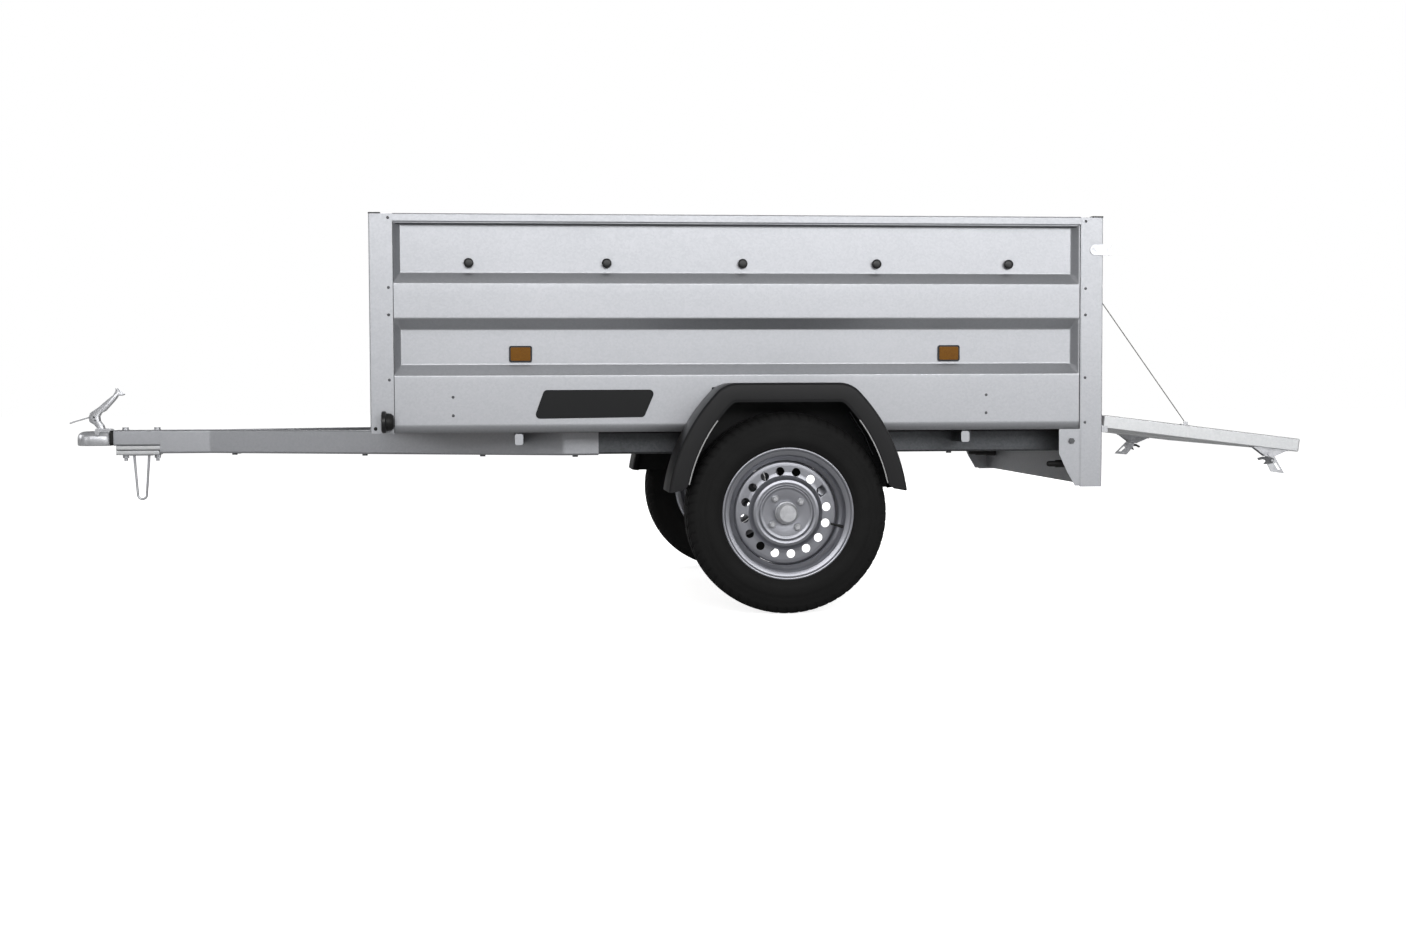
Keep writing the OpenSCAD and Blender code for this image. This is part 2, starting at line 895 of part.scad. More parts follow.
gate_y = half_w - 35;
eye_u = 252;
gate_in = gate_t + 2;

// Puts a piece drawn in the tailgate's own axes, its length along X and its outer face down, on its pivot
module hung() {
    translate([pivot_x, 0, pivot_z])
        rotate([0, gate_droop, 0])
            children();
}

module tailgate() {
    color("silver")
        place()
            hung()
                difference() {
                    union() {
                        block(5, gate_l, -gate_y, gate_y, 2, gate_in);
                        both()
                            rod_y(0, 0, -gate_y + 2, -gate_y + 40, 11);
                        both()
                            block(0, 14, -gate_y + 2, -gate_y + 40, 2, 14);
                    }
                    block(5 + sheet, gate_l - sheet, -gate_y + sheet, gate_y - sheet, 4, gate_in - 2);
                    block(60, 320, -gate_y + 60, gate_y - 60, 1, 16);
                    block(380, gate_l - 60, -gate_y + 60, gate_y - 60, 1, 16);
                    both()
                        rod_y(0, 0, -gate_y - 1, -gate_y + 60, pin_r + 0.05);
                }
}

module gate_wire_eyes() {
    color("gainsboro")
        place()
            hung()
                both() {
                    block(eye_u - 12, eye_u + 12, -wire_y - 2, -wire_y + 14, gate_in, gate_in + 2);
                    block(eye_u - 6, eye_u + 6, -wire_y - 2, -wire_y + 2, gate_in, gate_in + 10);
                }
}

latch_u = 489;
lever_pivot = [latch_u + 26, -14];
hook_pivot = lever_pivot + spun([-2, -22], lever_rest);

function spun(p, a) = [p[0] * cos(a) - p[1] * sin(a), p[0] * sin(a) + p[1] * cos(a)];

// The far latch is the same latch, turned half round
module other_hand() {
    translate([latch_u, 0, 0])
        rotate([0, 0, 180])
            translate([-latch_u, 0, 0])
                children();
}

module latch_base() {
    difference() {
        union() {
            block(lever_pivot[0] - 52, lever_pivot[0] + 52, -gate_y, -gate_y + 36, -1, 2);
            for (y = [4, 26])
                slab(-gate_y + y, -gate_y + y + 3, [for (p = [[-50, 14], [-12, -8], [12, -8], [50, 14]])
                    p + lever_pivot]);
        }
        rod_y(lever_pivot[0], lever_pivot[1], -gate_y, -gate_y + 40, 3.3);
    }
}

module latch_bases() {
    color("gainsboro")
        place()
            hung() {
                latch_base();
                other_hand()
                    latch_base();
            }
}

module latch_lever() {
    difference() {
        union() {
            slab(-gate_y + 20, -gate_y + 23, [for (p = [[-9, 0], [-6.4, 6.4], [0, 9], [6.4, 6.4], [9, 0],
                [14, -23], [12, -78], [-20, -50], [-16, -12]]) spun(p, lever_rest) + lever_pivot]);
            rod_y(lever_pivot[0], lever_pivot[1], -gate_y + 2, -gate_y + 29, 3);
            rod_y(lever_pivot[0], lever_pivot[1], -gate_y + 1, -gate_y + 3, 6);
            rod_y(hook_pivot[0], hook_pivot[1], -gate_y + 9, -gate_y + 20, 3);
        }
        slab(-gate_y + 10, -gate_y + 40, [for (p = [[1, -36], [8, -36], [8, -62], [1, -56]])
            spun(p, lever_rest) + lever_pivot]);
    }
}

module latch_lever_near() {
    color("gainsboro")
        place()
            hung()
                latch_lever();
}

module latch_lever_far() {
    color("gainsboro")
        place()
            hung()
                other_hand()
                    latch_lever();
}

module latch_hook() {
    difference() {
        slab(-gate_y + 13, -gate_y + 16, [for (p = [[7, 5], [0, 8], [-28, 8], [-44, 2], [-40, -4], [-28, 0],
            [-16, -2], [-24, -14], [-12, -12], [4, -8]]) p + hook_pivot]);
        rod_y(hook_pivot[0], hook_pivot[1], -gate_y, -gate_y + 40, 3.3);
    }
}

module latch_hook_near() {
    color("gainsboro")
        place()
            hung()
                latch_hook();
}

module latch_hook_far() {
    color("gainsboro")
        place()
            hung()
                other_hand()
                    latch_hook();
}

// The wire runs straight from the post's stud to the tailgate's eye
module wire() {
    c = cos(gate_droop);
    s = sin(gate_droop);
    w = gate_in + 5;
    a = [stud[0], -wire_y, stud[1]];
    b = [pivot_x + eye_u * c + w * s, -wire_y, pivot_z - eye_u * s + w * c];
    d = unit(b - a);
    bar(a + (stud_r + 0.05) * d, b - 8 * d, 1.6);
}

module wire_near() {
    color("gray")
        place()
            wire();
}

module wire_far() {
    color("gray")
        place()
            far()
                wire();
}

// ---- Mudguards ----

guard_top = 636;
corner_r = 78;
flank_r = 490;
corner = [140, guard_top - corner_r];
// Half of the arch: flat top, a tight corner and a long drooping flank that goes on from it
flank = corner - (flank_r - corner_r) * [cos(44), sin(44)];
arch_half = concat([[0, guard_top]], arc(corner, corner_r, 90, 44, 4), arc(flank, flank_r, 38, 8, 5));
arch_path = concat([for (i = [len(arch_half) - 1 : -1 : 1]) [-arch_half[i][0], arch_half[i][1]]], arch_half);

module mudguard() {
    y0 = -guard_y;
    y1 = -half_w - 6;
    slab(y0, y1, ribbon(arch_path, 0, -3));
    slab(y0, y0 + 3, ribbon(arch_path, 0, -guard_band));
    slab(y1 - 3, y1, ribbon(arch_path, 0, -22));
    // The pads that carry it on the box
    for (x = [-190, 120])
        block(x, x + 70, y1 - 3, -skin_y, deck_z + 20, guard_top - 12);
}

module mudguard_near() {
    color("black")
        place()
            mudguard();
}

module mudguard_far() {
    color("black")
        place()
            far()
                mudguard();
}

drawbar_leg_near();
drawbar_leg_far();
side_rail_near();
side_rail_far();
cross_member_front();
cross_member_rear();
floor_outriggers();
axle_tube();
axle_brackets();
swing_arm_near();
swing_arm_far();
hub_near();
hub_far();
rim_near();
rim_far();
tyre_near();
tyre_far();
wheel_bolts_near();
wheel_bolts_far();
coupling_body();
coupling_handle();
handle_pin();
safety_catch();
coupling_bolts();
coupling_nuts();
clamp_block();
prop_stand();
frame_bolts();
floor_board();
side_panel_near();
side_panel_far();
front_panel();
front_post_near();
front_post_far();
rear_post_near();
rear_post_far();
post_caps();
tarp_knobs();
rivets();
side_reflectors();
sign_plates();
marker_lamps();
rear_light_panel();
gussets();
rear_lamps();
number_plate_holder();
hook_brackets();
hinge_brackets();
wire_studs();
tailgate();
gate_wire_eyes();
latch_bases();
latch_lever_near();
latch_lever_far();
latch_hook_near();
latch_hook_far();
wire_near();
wire_far();
mudguard_near();
mudguard_far();
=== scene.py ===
"""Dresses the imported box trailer: finishes, pressed sheet metal, tyres, wires, lamps and the studio.

All lengths in this script are millimetres in the trailer's own axes, with x = 0 over the wheel axis;
``Frame.at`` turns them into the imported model's metres. +X runs rearwards, +Y to the far side, +Z up.
"""
from __future__ import annotations

import logging
import math
from dataclasses import dataclass
from enum import Enum
from typing import Callable, Iterable, Sequence

import bmesh
import bpy
from mathutils import Matrix, Vector

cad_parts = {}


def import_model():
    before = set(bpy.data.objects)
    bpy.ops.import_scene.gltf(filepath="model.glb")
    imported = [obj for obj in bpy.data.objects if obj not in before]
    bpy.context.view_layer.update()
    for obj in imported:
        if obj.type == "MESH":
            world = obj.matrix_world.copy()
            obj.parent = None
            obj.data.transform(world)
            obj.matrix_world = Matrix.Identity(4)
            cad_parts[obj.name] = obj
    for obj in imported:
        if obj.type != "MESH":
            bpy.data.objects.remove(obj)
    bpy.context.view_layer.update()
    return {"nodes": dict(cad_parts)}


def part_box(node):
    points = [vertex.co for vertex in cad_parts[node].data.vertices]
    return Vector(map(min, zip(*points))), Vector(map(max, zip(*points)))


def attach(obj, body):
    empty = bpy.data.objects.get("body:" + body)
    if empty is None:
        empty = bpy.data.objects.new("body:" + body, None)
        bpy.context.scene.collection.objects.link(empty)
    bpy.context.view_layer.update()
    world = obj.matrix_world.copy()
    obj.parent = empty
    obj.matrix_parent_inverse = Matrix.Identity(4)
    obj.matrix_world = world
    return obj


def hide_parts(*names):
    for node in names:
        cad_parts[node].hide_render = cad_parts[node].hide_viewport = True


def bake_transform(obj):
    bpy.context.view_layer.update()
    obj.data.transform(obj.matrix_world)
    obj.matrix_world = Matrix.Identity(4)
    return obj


LOG = logging.getLogger("trailer")
Point2 = tuple[float, float]
Point3 = tuple[float, float, float]
MM = 0.001
WELD = 0.02  # Points of a piece that lie nearer than this many millimetres are joined.
SHARP = 28.0  # A bevel rounds the edges that turn by more than this many degrees.
BENT = 45.0  # Folded sheet is shaded round over bends of less than this.
PIERCED = 40.0  # The same for a disc with holes in it.
WHITE = (1.0, 1.0, 1.0, 1.0)
HINGE_BACK = 8.0  # The tailgate's hinge pins lie this many millimetres behind the box.


class Side(Enum):
    """The two sides of the trailer; the value is the sign of Y."""

    NEAR = -1
    FAR = 1

    @property
    def word(self) -> str:
        """The word that node and body names end in."""
        return "near" if self is Side.NEAR else "far"


# --------------------------------------------------------------------------------------------
# The frame
# --------------------------------------------------------------------------------------------


class Frame:
    """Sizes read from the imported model, in millimetres from the wheel axis."""

    def __init__(self) -> None:
        """Reads the boxes of the main nodes."""
        low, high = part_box("tyre_near")
        self.origin_x = (low[0] + high[0]) / 2 / MM
        self.wheel_z = (low[2] + high[2]) / 2 / MM
        self.wheel_r = (high[2] - low[2]) / 2 / MM
        self.tyre_y = -(low[1] + high[1]) / 2 / MM
        self.tyre_w = (high[1] - low[1]) / MM
        low, high = self.node("rear_post_near")
        self.half_w = -low[1]
        self.box_x1 = high[0]
        self.top = high[2]
        self.post_foot = low[2]
        low, high = self.node("front_post_near")
        self.box_x0 = low[0]
        self.post_w = high[0] - low[0]
        self.deck = low[2]
        self.leg_x0 = self.node("drawbar_leg_near")[0][0]
        self.pivot_x = self.box_x1 + HINGE_BACK

    def node(self, name: str) -> tuple[Point3, Point3]:
        """Gives a node's corners.

        Args:
            name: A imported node.

        Returns:
            Its lowest and highest corners, in millimetres from the wheel axis.
        """
        low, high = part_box(name)
        shift = (self.origin_x, 0.0, 0.0)
        return (tuple(v / MM - s for v, s in zip(low, shift)),
                tuple(v / MM - s for v, s in zip(high, shift)))

    def at(self, p: Sequence[float]) -> Vector:
        """Turns a point in millimetres from the wheel axis into the model's metres."""
        return Vector(((p[0] + self.origin_x) * MM, p[1] * MM, p[2] * MM))


# --------------------------------------------------------------------------------------------
# Finishes
# --------------------------------------------------------------------------------------------


def linear(code: str) -> tuple[float, float, float, float]:
    """Turns an sRGB colour code such as "8a8d90" into linear red, green, blue and alpha."""
    values = [int(code[i:i + 2], 16) / 255 for i in (0, 2, 4)]
    return (*[v / 12.92 if v <= 0.04045 else ((v + 0.055) / 1.055) ** 2.4 for v in values], 1.0)


@dataclass(frozen=True)
class Finish:
    """What a material is made of.

    Attributes:
        name: The material's name.
        slot: The record's material slot that it belongs to; not used.
        light: sRGB colour of its lighter patches.
        dark: sRGB colour of its darker patches.
        metallic: Share of metal.
        rough: Middle roughness.
        rough_spread: How far the roughness swings either way.
        patch_mm: Size of its slow colour changes.
        grain_mm: Size of its fine texture.
        grain_mix: Share of the fine texture in the colour.
        bump_mm: Height of the fine texture.
        cells: Whether the fine texture is crystals instead of grain.
        coat: Weight of a clear coat.
        specular: Specular level.
    """

    name: str
    slot: str
    light: str
    dark: str
    metallic: float = 0.0
    rough: float = 0.5
    rough_spread: float = 0.05
    patch_mm: float = 180.0
    grain_mm: float = 6.0
    grain_mix: float = 0.3
    bump_mm: float = 0.05
    cells: bool = False
    coat: float = 0.0
    specular: float = 0.5


# Box, posts and legs: pale zinc with a faint crystal spangle that softly mirrors the room.
GALVANISED = Finish("hot_dip_galvanised_sheet", "galvanised_steel", "acadb1", "a2a4a8", 0.85, 0.43, 0.04,
                    340, 5, 0.5, 0.006, True)
# Side rails, axle and cross members: the same zinc on heavier steel, coloured dark as painted shade from the
# box.
SHADED_GALVANISED = Finish("galvanised_painted_shade", "galvanised_steel", "5e6063", "4a4c4f", 0.85, 0.38,
                         0.06, 120, 5, 0.4, 0.01, True)
# Tailgate and clamp: a paler copy of the zinc, almost white, painted light where light falls on them.
LIT_GALVANISED = Finish("galvanised_painted_light", "galvanised_steel", "cfd0d1", "c0c2c4", 0.8, 0.4,
                           0.05, 160, 5, 0.45, 0.008, True)
# Coupling lever, bolts, latches and pins: light plated steel with small darker smudges.
ZINC = Finish("zinc_plated_steel", "zinc_steel", "dcdde0", "8e8f93", 0.8, 0.34, 0.1, 12, 3, 0.3, 0.006)
# Rivets, frame bolts and latch hooks: the same plating, darker and less glossy.
DARK_ZINC = Finish("dulled_zinc_fastener", "zinc_steel", "6e6f71", "3e3f41", 0.8, 0.42, 0.06, 10, 2, 0.4,
                   0.01)
# Coupling head and hubs: plated pressings with a softer, broader sheen than the bolts.
CAST_ZINC = Finish("zinc_plated_pressing", "zinc_steel", "e2e3e6", "8b8c90", 0.7, 0.36, 0.08, 16, 3, 0.25,
                   0.006)
# Wheels: silver lacquer on smooth steel, with long grey gradients across the dish.
WHEEL_PAINT = Finish("silver_wheel_lacquer", "silver_paint", "929399", "87888e", 0.85, 0.34, 0.02, 120, 2.5,
                     0.2, 0.001, coat=0.3)
# Tyres: matt charcoal rubber with a fine dry grain.
TYRE = Finish("tyre_rubber", "tyre_rubber", "1a1a1a", "111111", 0.0, 0.68, 0.08, 60, 1.6, 0.35, 0.05,
              specular=0.14)
# Mudguards: black moulded plastic with a low sheen and a fine leather grain.
PLASTIC = Finish("grained_black_polypropylene", "black_plastic", "1c1c1e", "151516", 0.0, 0.42, 0.05, 90,
                 1.4, 0.3, 0.03, specular=0.2)
# The mudguards' edge: a thin light grey line down each arm, a painted highlight.
PAINTED_HIGHLIGHT_EDGE = Finish("painted_highlight_edge", "black_plastic", "b4b4b4", "9a9a9a", 0.0, 0.35, 0.05, 60, 1.4, 0.3,
              0.01)
# Lamp plugs, marker domes and valves: soft black rubber.
RUBBER = Finish("moulded_black_rubber", "black_plastic", "171717", "0f0f0f", 0.0, 0.5, 0.06, 20, 1.0, 0.3,
                0.04, specular=0.3)
# Knobs, caps and lamp housings: hard black nylon with small highlights.
KNOB = Finish("black_nylon", "black_plastic", "18181a", "101011", 0.0, 0.34, 0.06, 12, 0.8, 0.3, 0.02,
              specular=0.4)
# Floor: brown sealed board with long darker patches.
PLYWOOD = Finish("sealed_plywood", "plywood", "6d4a31", "4a3020", 0.0, 0.55, 0.1, 300, 4, 0.5, 0.05)
# Side reflectors and indicators: deep amber with a beaded pattern under the surface.
AMBER = Finish("amber_reflector", "amber_plastic", "80540f", "6b430b", 0.0, 0.3, 0.05, 20, 2.6, 0.5, 0.1,
               True, specular=0.15)
# Stop and tail lenses: glossy deep red, beaded.
RED = Finish("red_lamp_lens", "red_plastic", "a01712", "6d0c09", 0.0, 0.2, 0.04, 20, 3.0, 0.6, 0.15, True,
             coat=0.6)
# Reversing lenses: glossy milky white, beaded.
CLEAR = Finish("clear_lamp_lens", "black_plastic", "d8d8d6", "b9b9b6", 0.0, 0.18, 0.04, 15, 2.4, 0.5, 0.1,
               True, coat=0.6)
# Bare plates: near-black lacquer, flat and clean.
PLATE = Finish("dark_lacquered_plate", "dark_plate", "18191b", "131415", 0.0, 0.34, 0.04, 120, 1.2, 0.2,
               0.01, specular=0.2)
# Painted shade: dark strips under the top rails, and painted shadow along the posts' edges.
PAINTED_SHADE_LINE = Finish("painted_shade_line", "black_plastic", "3a3b3c", "2c2d2e", 0.0, 0.6, 0.05, 60, 1.5, 0.3,
              0.02, specular=0.2)
# Tailgate wires: grey twisted strands, bright on one side only.
WIRE = Finish("braided_steel_wire", "steel_wire", "8b8b89", "5a5a58", 0.85, 0.38, 0.08, 8, 0.6, 0.6, 0.08)


def add_node(tree: bpy.types.NodeTree, kind: str, settings: dict | None = None,
             **inputs: object) -> bpy.types.Node:
    """Adds one node to a tree.

    Args:
        tree: The material's node tree.
        kind: Blender's name of the node type.
        settings: Properties to set on it.
        **inputs: Values, or output sockets to link, by input name with spaces as underscores.

    Returns:
        The new node.
    """
    made = tree.nodes.new(kind)
    for key, value in (settings or {}).items():
        setattr(made, key, value)
    for key, value in inputs.items():
        socket = made.inputs[key.replace("_", " ")]
        if isinstance(value, bpy.types.NodeSocket):
            tree.links.new(value, socket)
        else:
            socket.default_value = value
    return made


def ramp(tree: bpy.types.NodeTree, factor: bpy.types.NodeSocket, low: float,
         high: float) -> bpy.types.NodeSocket:
    """Maps a 0 to 1 factor to the range from low to high."""
    made = add_node(tree, "ShaderNodeMapRange", Value=factor, To_Min=low, To_Max=high)
    return made.outputs["Result"]


def cleared(owner: bpy.types.Material | bpy.types.World) -> bpy.types.NodeTree:
    """Empties the node tree of a new material or world.

    Args:
        owner: The material or world.

    Returns:
        Its node tree.
    """
    owner.use_nodes = True
    owner.node_tree.nodes.clear()
    return owner.node_tree


def finish_tree(tree: bpy.types.NodeTree, rest: bpy.types.Node, seen: bpy.types.Node, kind: str) -> None:
    """Ends a tree in one shader for the camera's rays and another for all the light that it throws.

    Args:
        tree: The node tree.
        rest: The shader for all other rays.
        seen: The shader for the camera's rays.
        kind: Blender's name of the output node type.
    """
    ray = add_node(tree, "ShaderNodeLightPath").outputs["Is Camera Ray"]
    both = add_node(tree, "ShaderNodeMixShader", Fac=ray)
    tree.links.new(rest.outputs[0], both.inputs[1])
    tree.links.new(seen.outputs[0], both.inputs[2])
    add_node(tree, kind, Surface=both.outputs[0])


class Paints:
    """Makes each material once."""

    def __init__(self) -> None:
        """Starts with no material made."""
        self._made: dict[str, bpy.types.Material] = {}

    def get(self, finish: Finish) -> bpy.types.Material:
        """Gives the material of a finish.

        Args:
            finish: The finish.

        Returns:
            Its node material.
        """
        if finish.name not in self._made:
            self._made[finish.name] = self._build(finish)
        return self._made[finish.name]

    def _build(self, f: Finish) -> bpy.types.Material:
        """Makes the node material of a finish: slow patches, fine grain, ripple and sheen.

        Args:
            f: The finish.

        Returns:
            Its node material.
        """
        made = bpy.data.materials.new(f.name)
        tree = cleared(made)
        where = add_node(tree, "ShaderNodeTexCoord").outputs["Object"]
        fine = 1 / (f.grain_mm * MM)
        patches = add_node(tree, "ShaderNodeTexNoise", Vector=where, Scale=1 / (f.patch_mm * MM), Detail=4.0,
                           Roughness=0.55).outputs["Fac"]
        if f.cells:
            crystals = add_node(tree, "ShaderNodeTexVoronoi", {"feature": "F1"}, Vector=where, Scale=fine)
            grain = add_node(tree, "ShaderNodeSeparateColor", Color=crystals.outputs["Color"]).outputs["Red"]
        else:
            grain = add_node(tree, "ShaderNodeTexNoise", Vector=where, Scale=fine, Detail=3.0,
                             Roughness=0.6).outputs["Fac"]
        both = add_node(tree, "ShaderNodeMix", {"data_type": "FLOAT"}, Factor=f.grain_mix)
        tree.links.new(patches, both.inputs[2])
        tree.links.new(grain, both.inputs[3])
        tint = add_node(tree, "ShaderNodeMix", {"data_type": "RGBA"})
        tree.links.new(both.outputs[0], tint.inputs[0])
        tint.inputs[6].default_value = linear(f.dark)
        tint.inputs[7].default_value = linear(f.light)
        ripple = grain
        if f.cells:
            ripple = add_node(tree, "ShaderNodeTexNoise", Vector=where, Scale=fine / 2,
                              Detail=2.0).outputs["Fac"]
        bump = add_node(tree, "ShaderNodeBump", Height=ripple, Distance=f.bump_mm * MM, Strength=0.6)
        rough = ramp(tree, both.outputs[0], f.rough + f.rough_spread, f.rough - f.rough_spread)
        shader = add_node(tree, "ShaderNodeBsdfPrincipled", Normal=bump.outputs["Normal"],
                          Base_Color=tint.outputs[2], Roughness=rough, Metallic=f.metallic,
                          Coat_Weight=f.coat, Specular_IOR_Level=f.specular)
        add_node(tree, "ShaderNodeOutputMaterial", Surface=shader.outputs["BSDF"])
        return made


# --------------------------------------------------------------------------------------------
# Shapes
# --------------------------------------------------------------------------------------------


class Shape:
    """A mesh under construction, in millimetres from the wheel axis."""

    def __init__(self) -> None:
        """Starts empty."""
        self.points: list[Point3] = []
        self.faces: list[tuple[int, ...]] = []

    def grid(self, rows: Sequence[Sequence[Point3]], close_u: bool = False, close_v: bool = False) -> "Shape":
        """Adds a sheet of quads.

        Args:
            rows: Rows of points, all as long.
            close_u: Whether each row closes on itself.
            close_v: Whether the last row joins the first.

        Returns:
            This shape.
        """
        base, n, m = len(self.points), len(rows), len(rows[0])
        for row in rows:
            self.points.extend(row)
        for i in range(n if close_v else n - 1):
            for j in range(m if close_u else m - 1):
                a, b = base + i * m, base + (i + 1) % n * m
                k = (j + 1) % m
                self.faces.append((a + j, a + k, b + k, b + j))
        return self

    def fan(self, ring: Sequence[Point3], flip: bool = False) -> "Shape":
        """Adds one flat face through a ring of points.

        Args:
            ring: The points.
            flip: Whether it faces the other way.

        Returns:
            This shape.
        """
        base = len(self.points)
        self.points.extend(ring)
        order = list(range(base, base + len(ring)))
        self.faces.append(tuple(reversed(order) if flip else order))
        return self

    def add(self, other: "Shape") -> "Shape":
        """Adds another shape's points and faces.

        Args:
            other: That shape.

        Returns:
            This shape.
        """
        base = len(self.points)
        self.points += other.points
        self.faces += [tuple(i + base for i in face) for face in other.faces]
        return self

    def tube(self, path: Sequence[Point3], radius: float, around: int = 12) -> "Shape":
        """Adds a round bar with closed ends along a path.

        Args:
            path: The points of its middle line.
            radius: Its radius.
            around: Steps round it.

        Returns:
            This shape.
        """
        pts = [Vector(p) for p in path]
        rows = []
        side = None
        for i, p in enumerate(pts):
            d = (pts[min(i + 1, len(pts) - 1)] - pts[max(i - 1, 0)]).normalized()
            side = d.orthogonal() if side is None else side - d * side.dot(d)
            side.normalize()
            up = d.cross(side)
            rows.append([tuple(p + radius * (math.cos(a) * side + math.sin(a) * up))
                         for a in (2 * math.pi * k / around for k in range(around))])
        self.grid(rows, close_u=True)
        return self.fan(rows[0], True).fan(rows[-1])

    def turned(self, profile: Sequence[Point2], cx: float, cz: float, sign: float,
               steps: int = 96) -> "Shape":
        """Adds a closed solid turned about a Y axis.

        Args:
            profile: Outline as radius and distance from the middle plane.
            cx: X of the axis.
            cz: Z of the axis.
            sign: -1 for the near side, 1 for the far side.
            steps: Steps round the turn.

        Returns:
            This shape.
        """
        rows = [[(cx + r * math.cos(a), sign * y, cz + r * math.sin(a)) for r, y in profile]
                for a in (2 * math.pi * k / steps for k in range(steps))]
        return self.grid(rows, close_u=True, close_v=True)

    def prism(self, outline: Sequence[Point2], put: Callable[[float, float, float], Point3], a: float,
              b: float) -> "Shape":
        """Adds a prism.

        Args:
            outline: Its flat outline.
            put: Turns outline coordinates and a distance along the prism into a point.
            a: Where it starts.
            b: Where it ends.

        Returns:
            This shape.
        """
        rows = [[put(u, v, t) for u, v in outline] for t in (a, b)]
        self.grid(rows, close_u=True)
        return self.fan(rows[0], True).fan(rows[1])

    def block(self, start: Point3, end: Point3) -> "Shape":
        """Adds a box between two opposite corners."""
        (x0, x1), (y0, y1), (z0, z1) = (sorted(pair) for pair in zip(start, end))
        return self.prism([(x0, y0), (x1, y0), (x1, y1), (x0, y1)], xy, z0, z1)

    def mapped(self, change: Callable[[Point3], Point3]) -> "Shape":
        """Moves every point by a function."""
        self.points = [change(p) for p in self.points]
        return self


def xz(u: float, v: float, t: float) -> Point3:
    """Places an outline in X and Z, and the prism's length along Y."""
    return (u, t, v)


def xy(u: float, v: float, t: float) -> Point3:
    """Places an outline in X and Y, and the prism's length along Z."""
    return (u, v, t)


def yz(u: float, v: float, t: float) -> Point3:
    """Places an outline in Y and Z, and the prism's length along X."""
    return (t, u, v)


def arc(cx: float, cy: float, r: float, a0: float, a1: float, n: int) -> list[Point2]:
    """Gives n + 1 points on an arc, angles in degrees."""
    return [(cx + r * math.cos(math.radians(a0 + (a1 - a0) * k / n)),
             cy + r * math.sin(math.radians(a0 + (a1 - a0) * k / n))) for k in range(n + 1)]


def round_disc(cx: float, cy: float, r: float) -> list[Point2]:
    """Gives a circle as 24 points."""
    return arc(cx, cy, r, 0, 345, 23)


def hexagon(cx: float, cy: float, r: float, turn: float) -> list[Point2]:
    """Gives the corners of a hexagon, the first one turned by an angle in degrees."""
    return arc(cx, cy, r, turn, turn + 300, 5)


def rounded(path: Sequence[Point2], radius: float, n: int = 4, closed: bool = False) -> list[Point2]:
    """Rounds the corners of a path.

    Args:
        path: Its corner points.
        radius: The radius of the bends, less where a leg is too short for it.
        n: Steps in each bend.
        closed: Whether the path is a closed outline.

    Returns:
        The rounded path.
    """
    count = len(path)
    out: list[Point2] = []
    for i, point in enumerate(path):
        if not closed and i in (0, count - 1):
            out.append(point)
            continue
        p, a, b = Vector(point), Vector(path[i - 1]), Vector(path[(i + 1) % count])
        u, v = (a - p), (b - p)
        lu, lv = u.length, v.length
        u.normalize()
        v.normalize()
        half = math.acos(max(-1.0, min(1.0, u.dot(v)))) / 2
        if half > math.radians(89):
            out.append(point)
            continue
        cut = min(radius / math.tan(half), lu * 0.48, lv * 0.48)
        r = cut * math.tan(half)
        centre = p + (u + v).normalized() * (r / math.sin(half))
        start, end = p + u * cut, p + v * cut
        a0 = math.atan2(start.y - centre.y, start.x - centre.x)
        turn = (math.atan2(end.y - centre.y, end.x - centre.x) - a0 + math.pi) % (2 * math.pi) - math.pi
        out += [(centre.x + r * math.cos(a0 + turn * k / n), centre.y + r * math.sin(a0 + turn * k / n))
                for k in range(n + 1)]
    return out


def beside(path: Sequence[Point2], d: float) -> list[Point2]:
    """Gives the mitred line that runs beside a path.

    Args:
        path: The path.
        d: How far to the left of it the line runs.

    Returns:
        The line's points.
    """
    out = []
    for i, p in enumerate(path):
        def left(a: Point2, b: Point2) -> Vector:
            """Gives the unit vector to the left of the way from one point to the next."""
            t = (Vector(b) - Vector(a)).normalized()
            return Vector((-t.y, t.x))
        n1 = left(path[max(i - 1, 0)], path[max(i, 1)])
        n2 = left(path[min(i, len(path) - 2)], path[min(i + 1, len(path) - 1)])
        q = Vector(p) + (n1 + n2) * (d / (1 + n1.dot(n2)))
        out.append((q.x, q.y))
    return out


def strip(path: Sequence[Point2], thick: float, radius: float) -> list[Point2]:
    """Gives the outline of a sheet folded along a path, its thickness to the left."""
    inner = rounded(path, radius)
    return inner + list(reversed(beside(inner, thick)))


def oblong(u0: float, v0: float, u1: float, v1: float, radius: float, n: int = 4) -> list[Point2]:
    """Gives the rounded rectangle between two opposite corners, with n steps in each bend."""
    return rounded([(u0, v0), (u1, v0), (u1, v1), (u0, v1)], radius, n, True)


def loft(rings: Sequence[Sequence[Point3]]) -> Shape:
    """Gives a solid through closed rings, with flat ends."""
    return Shape().grid(rings, close_u=True).fan(rings[0], True).fan(rings[-1])


# --------------------------------------------------------------------------------------------
# The workshop
# --------------------------------------------------------------------------------------------


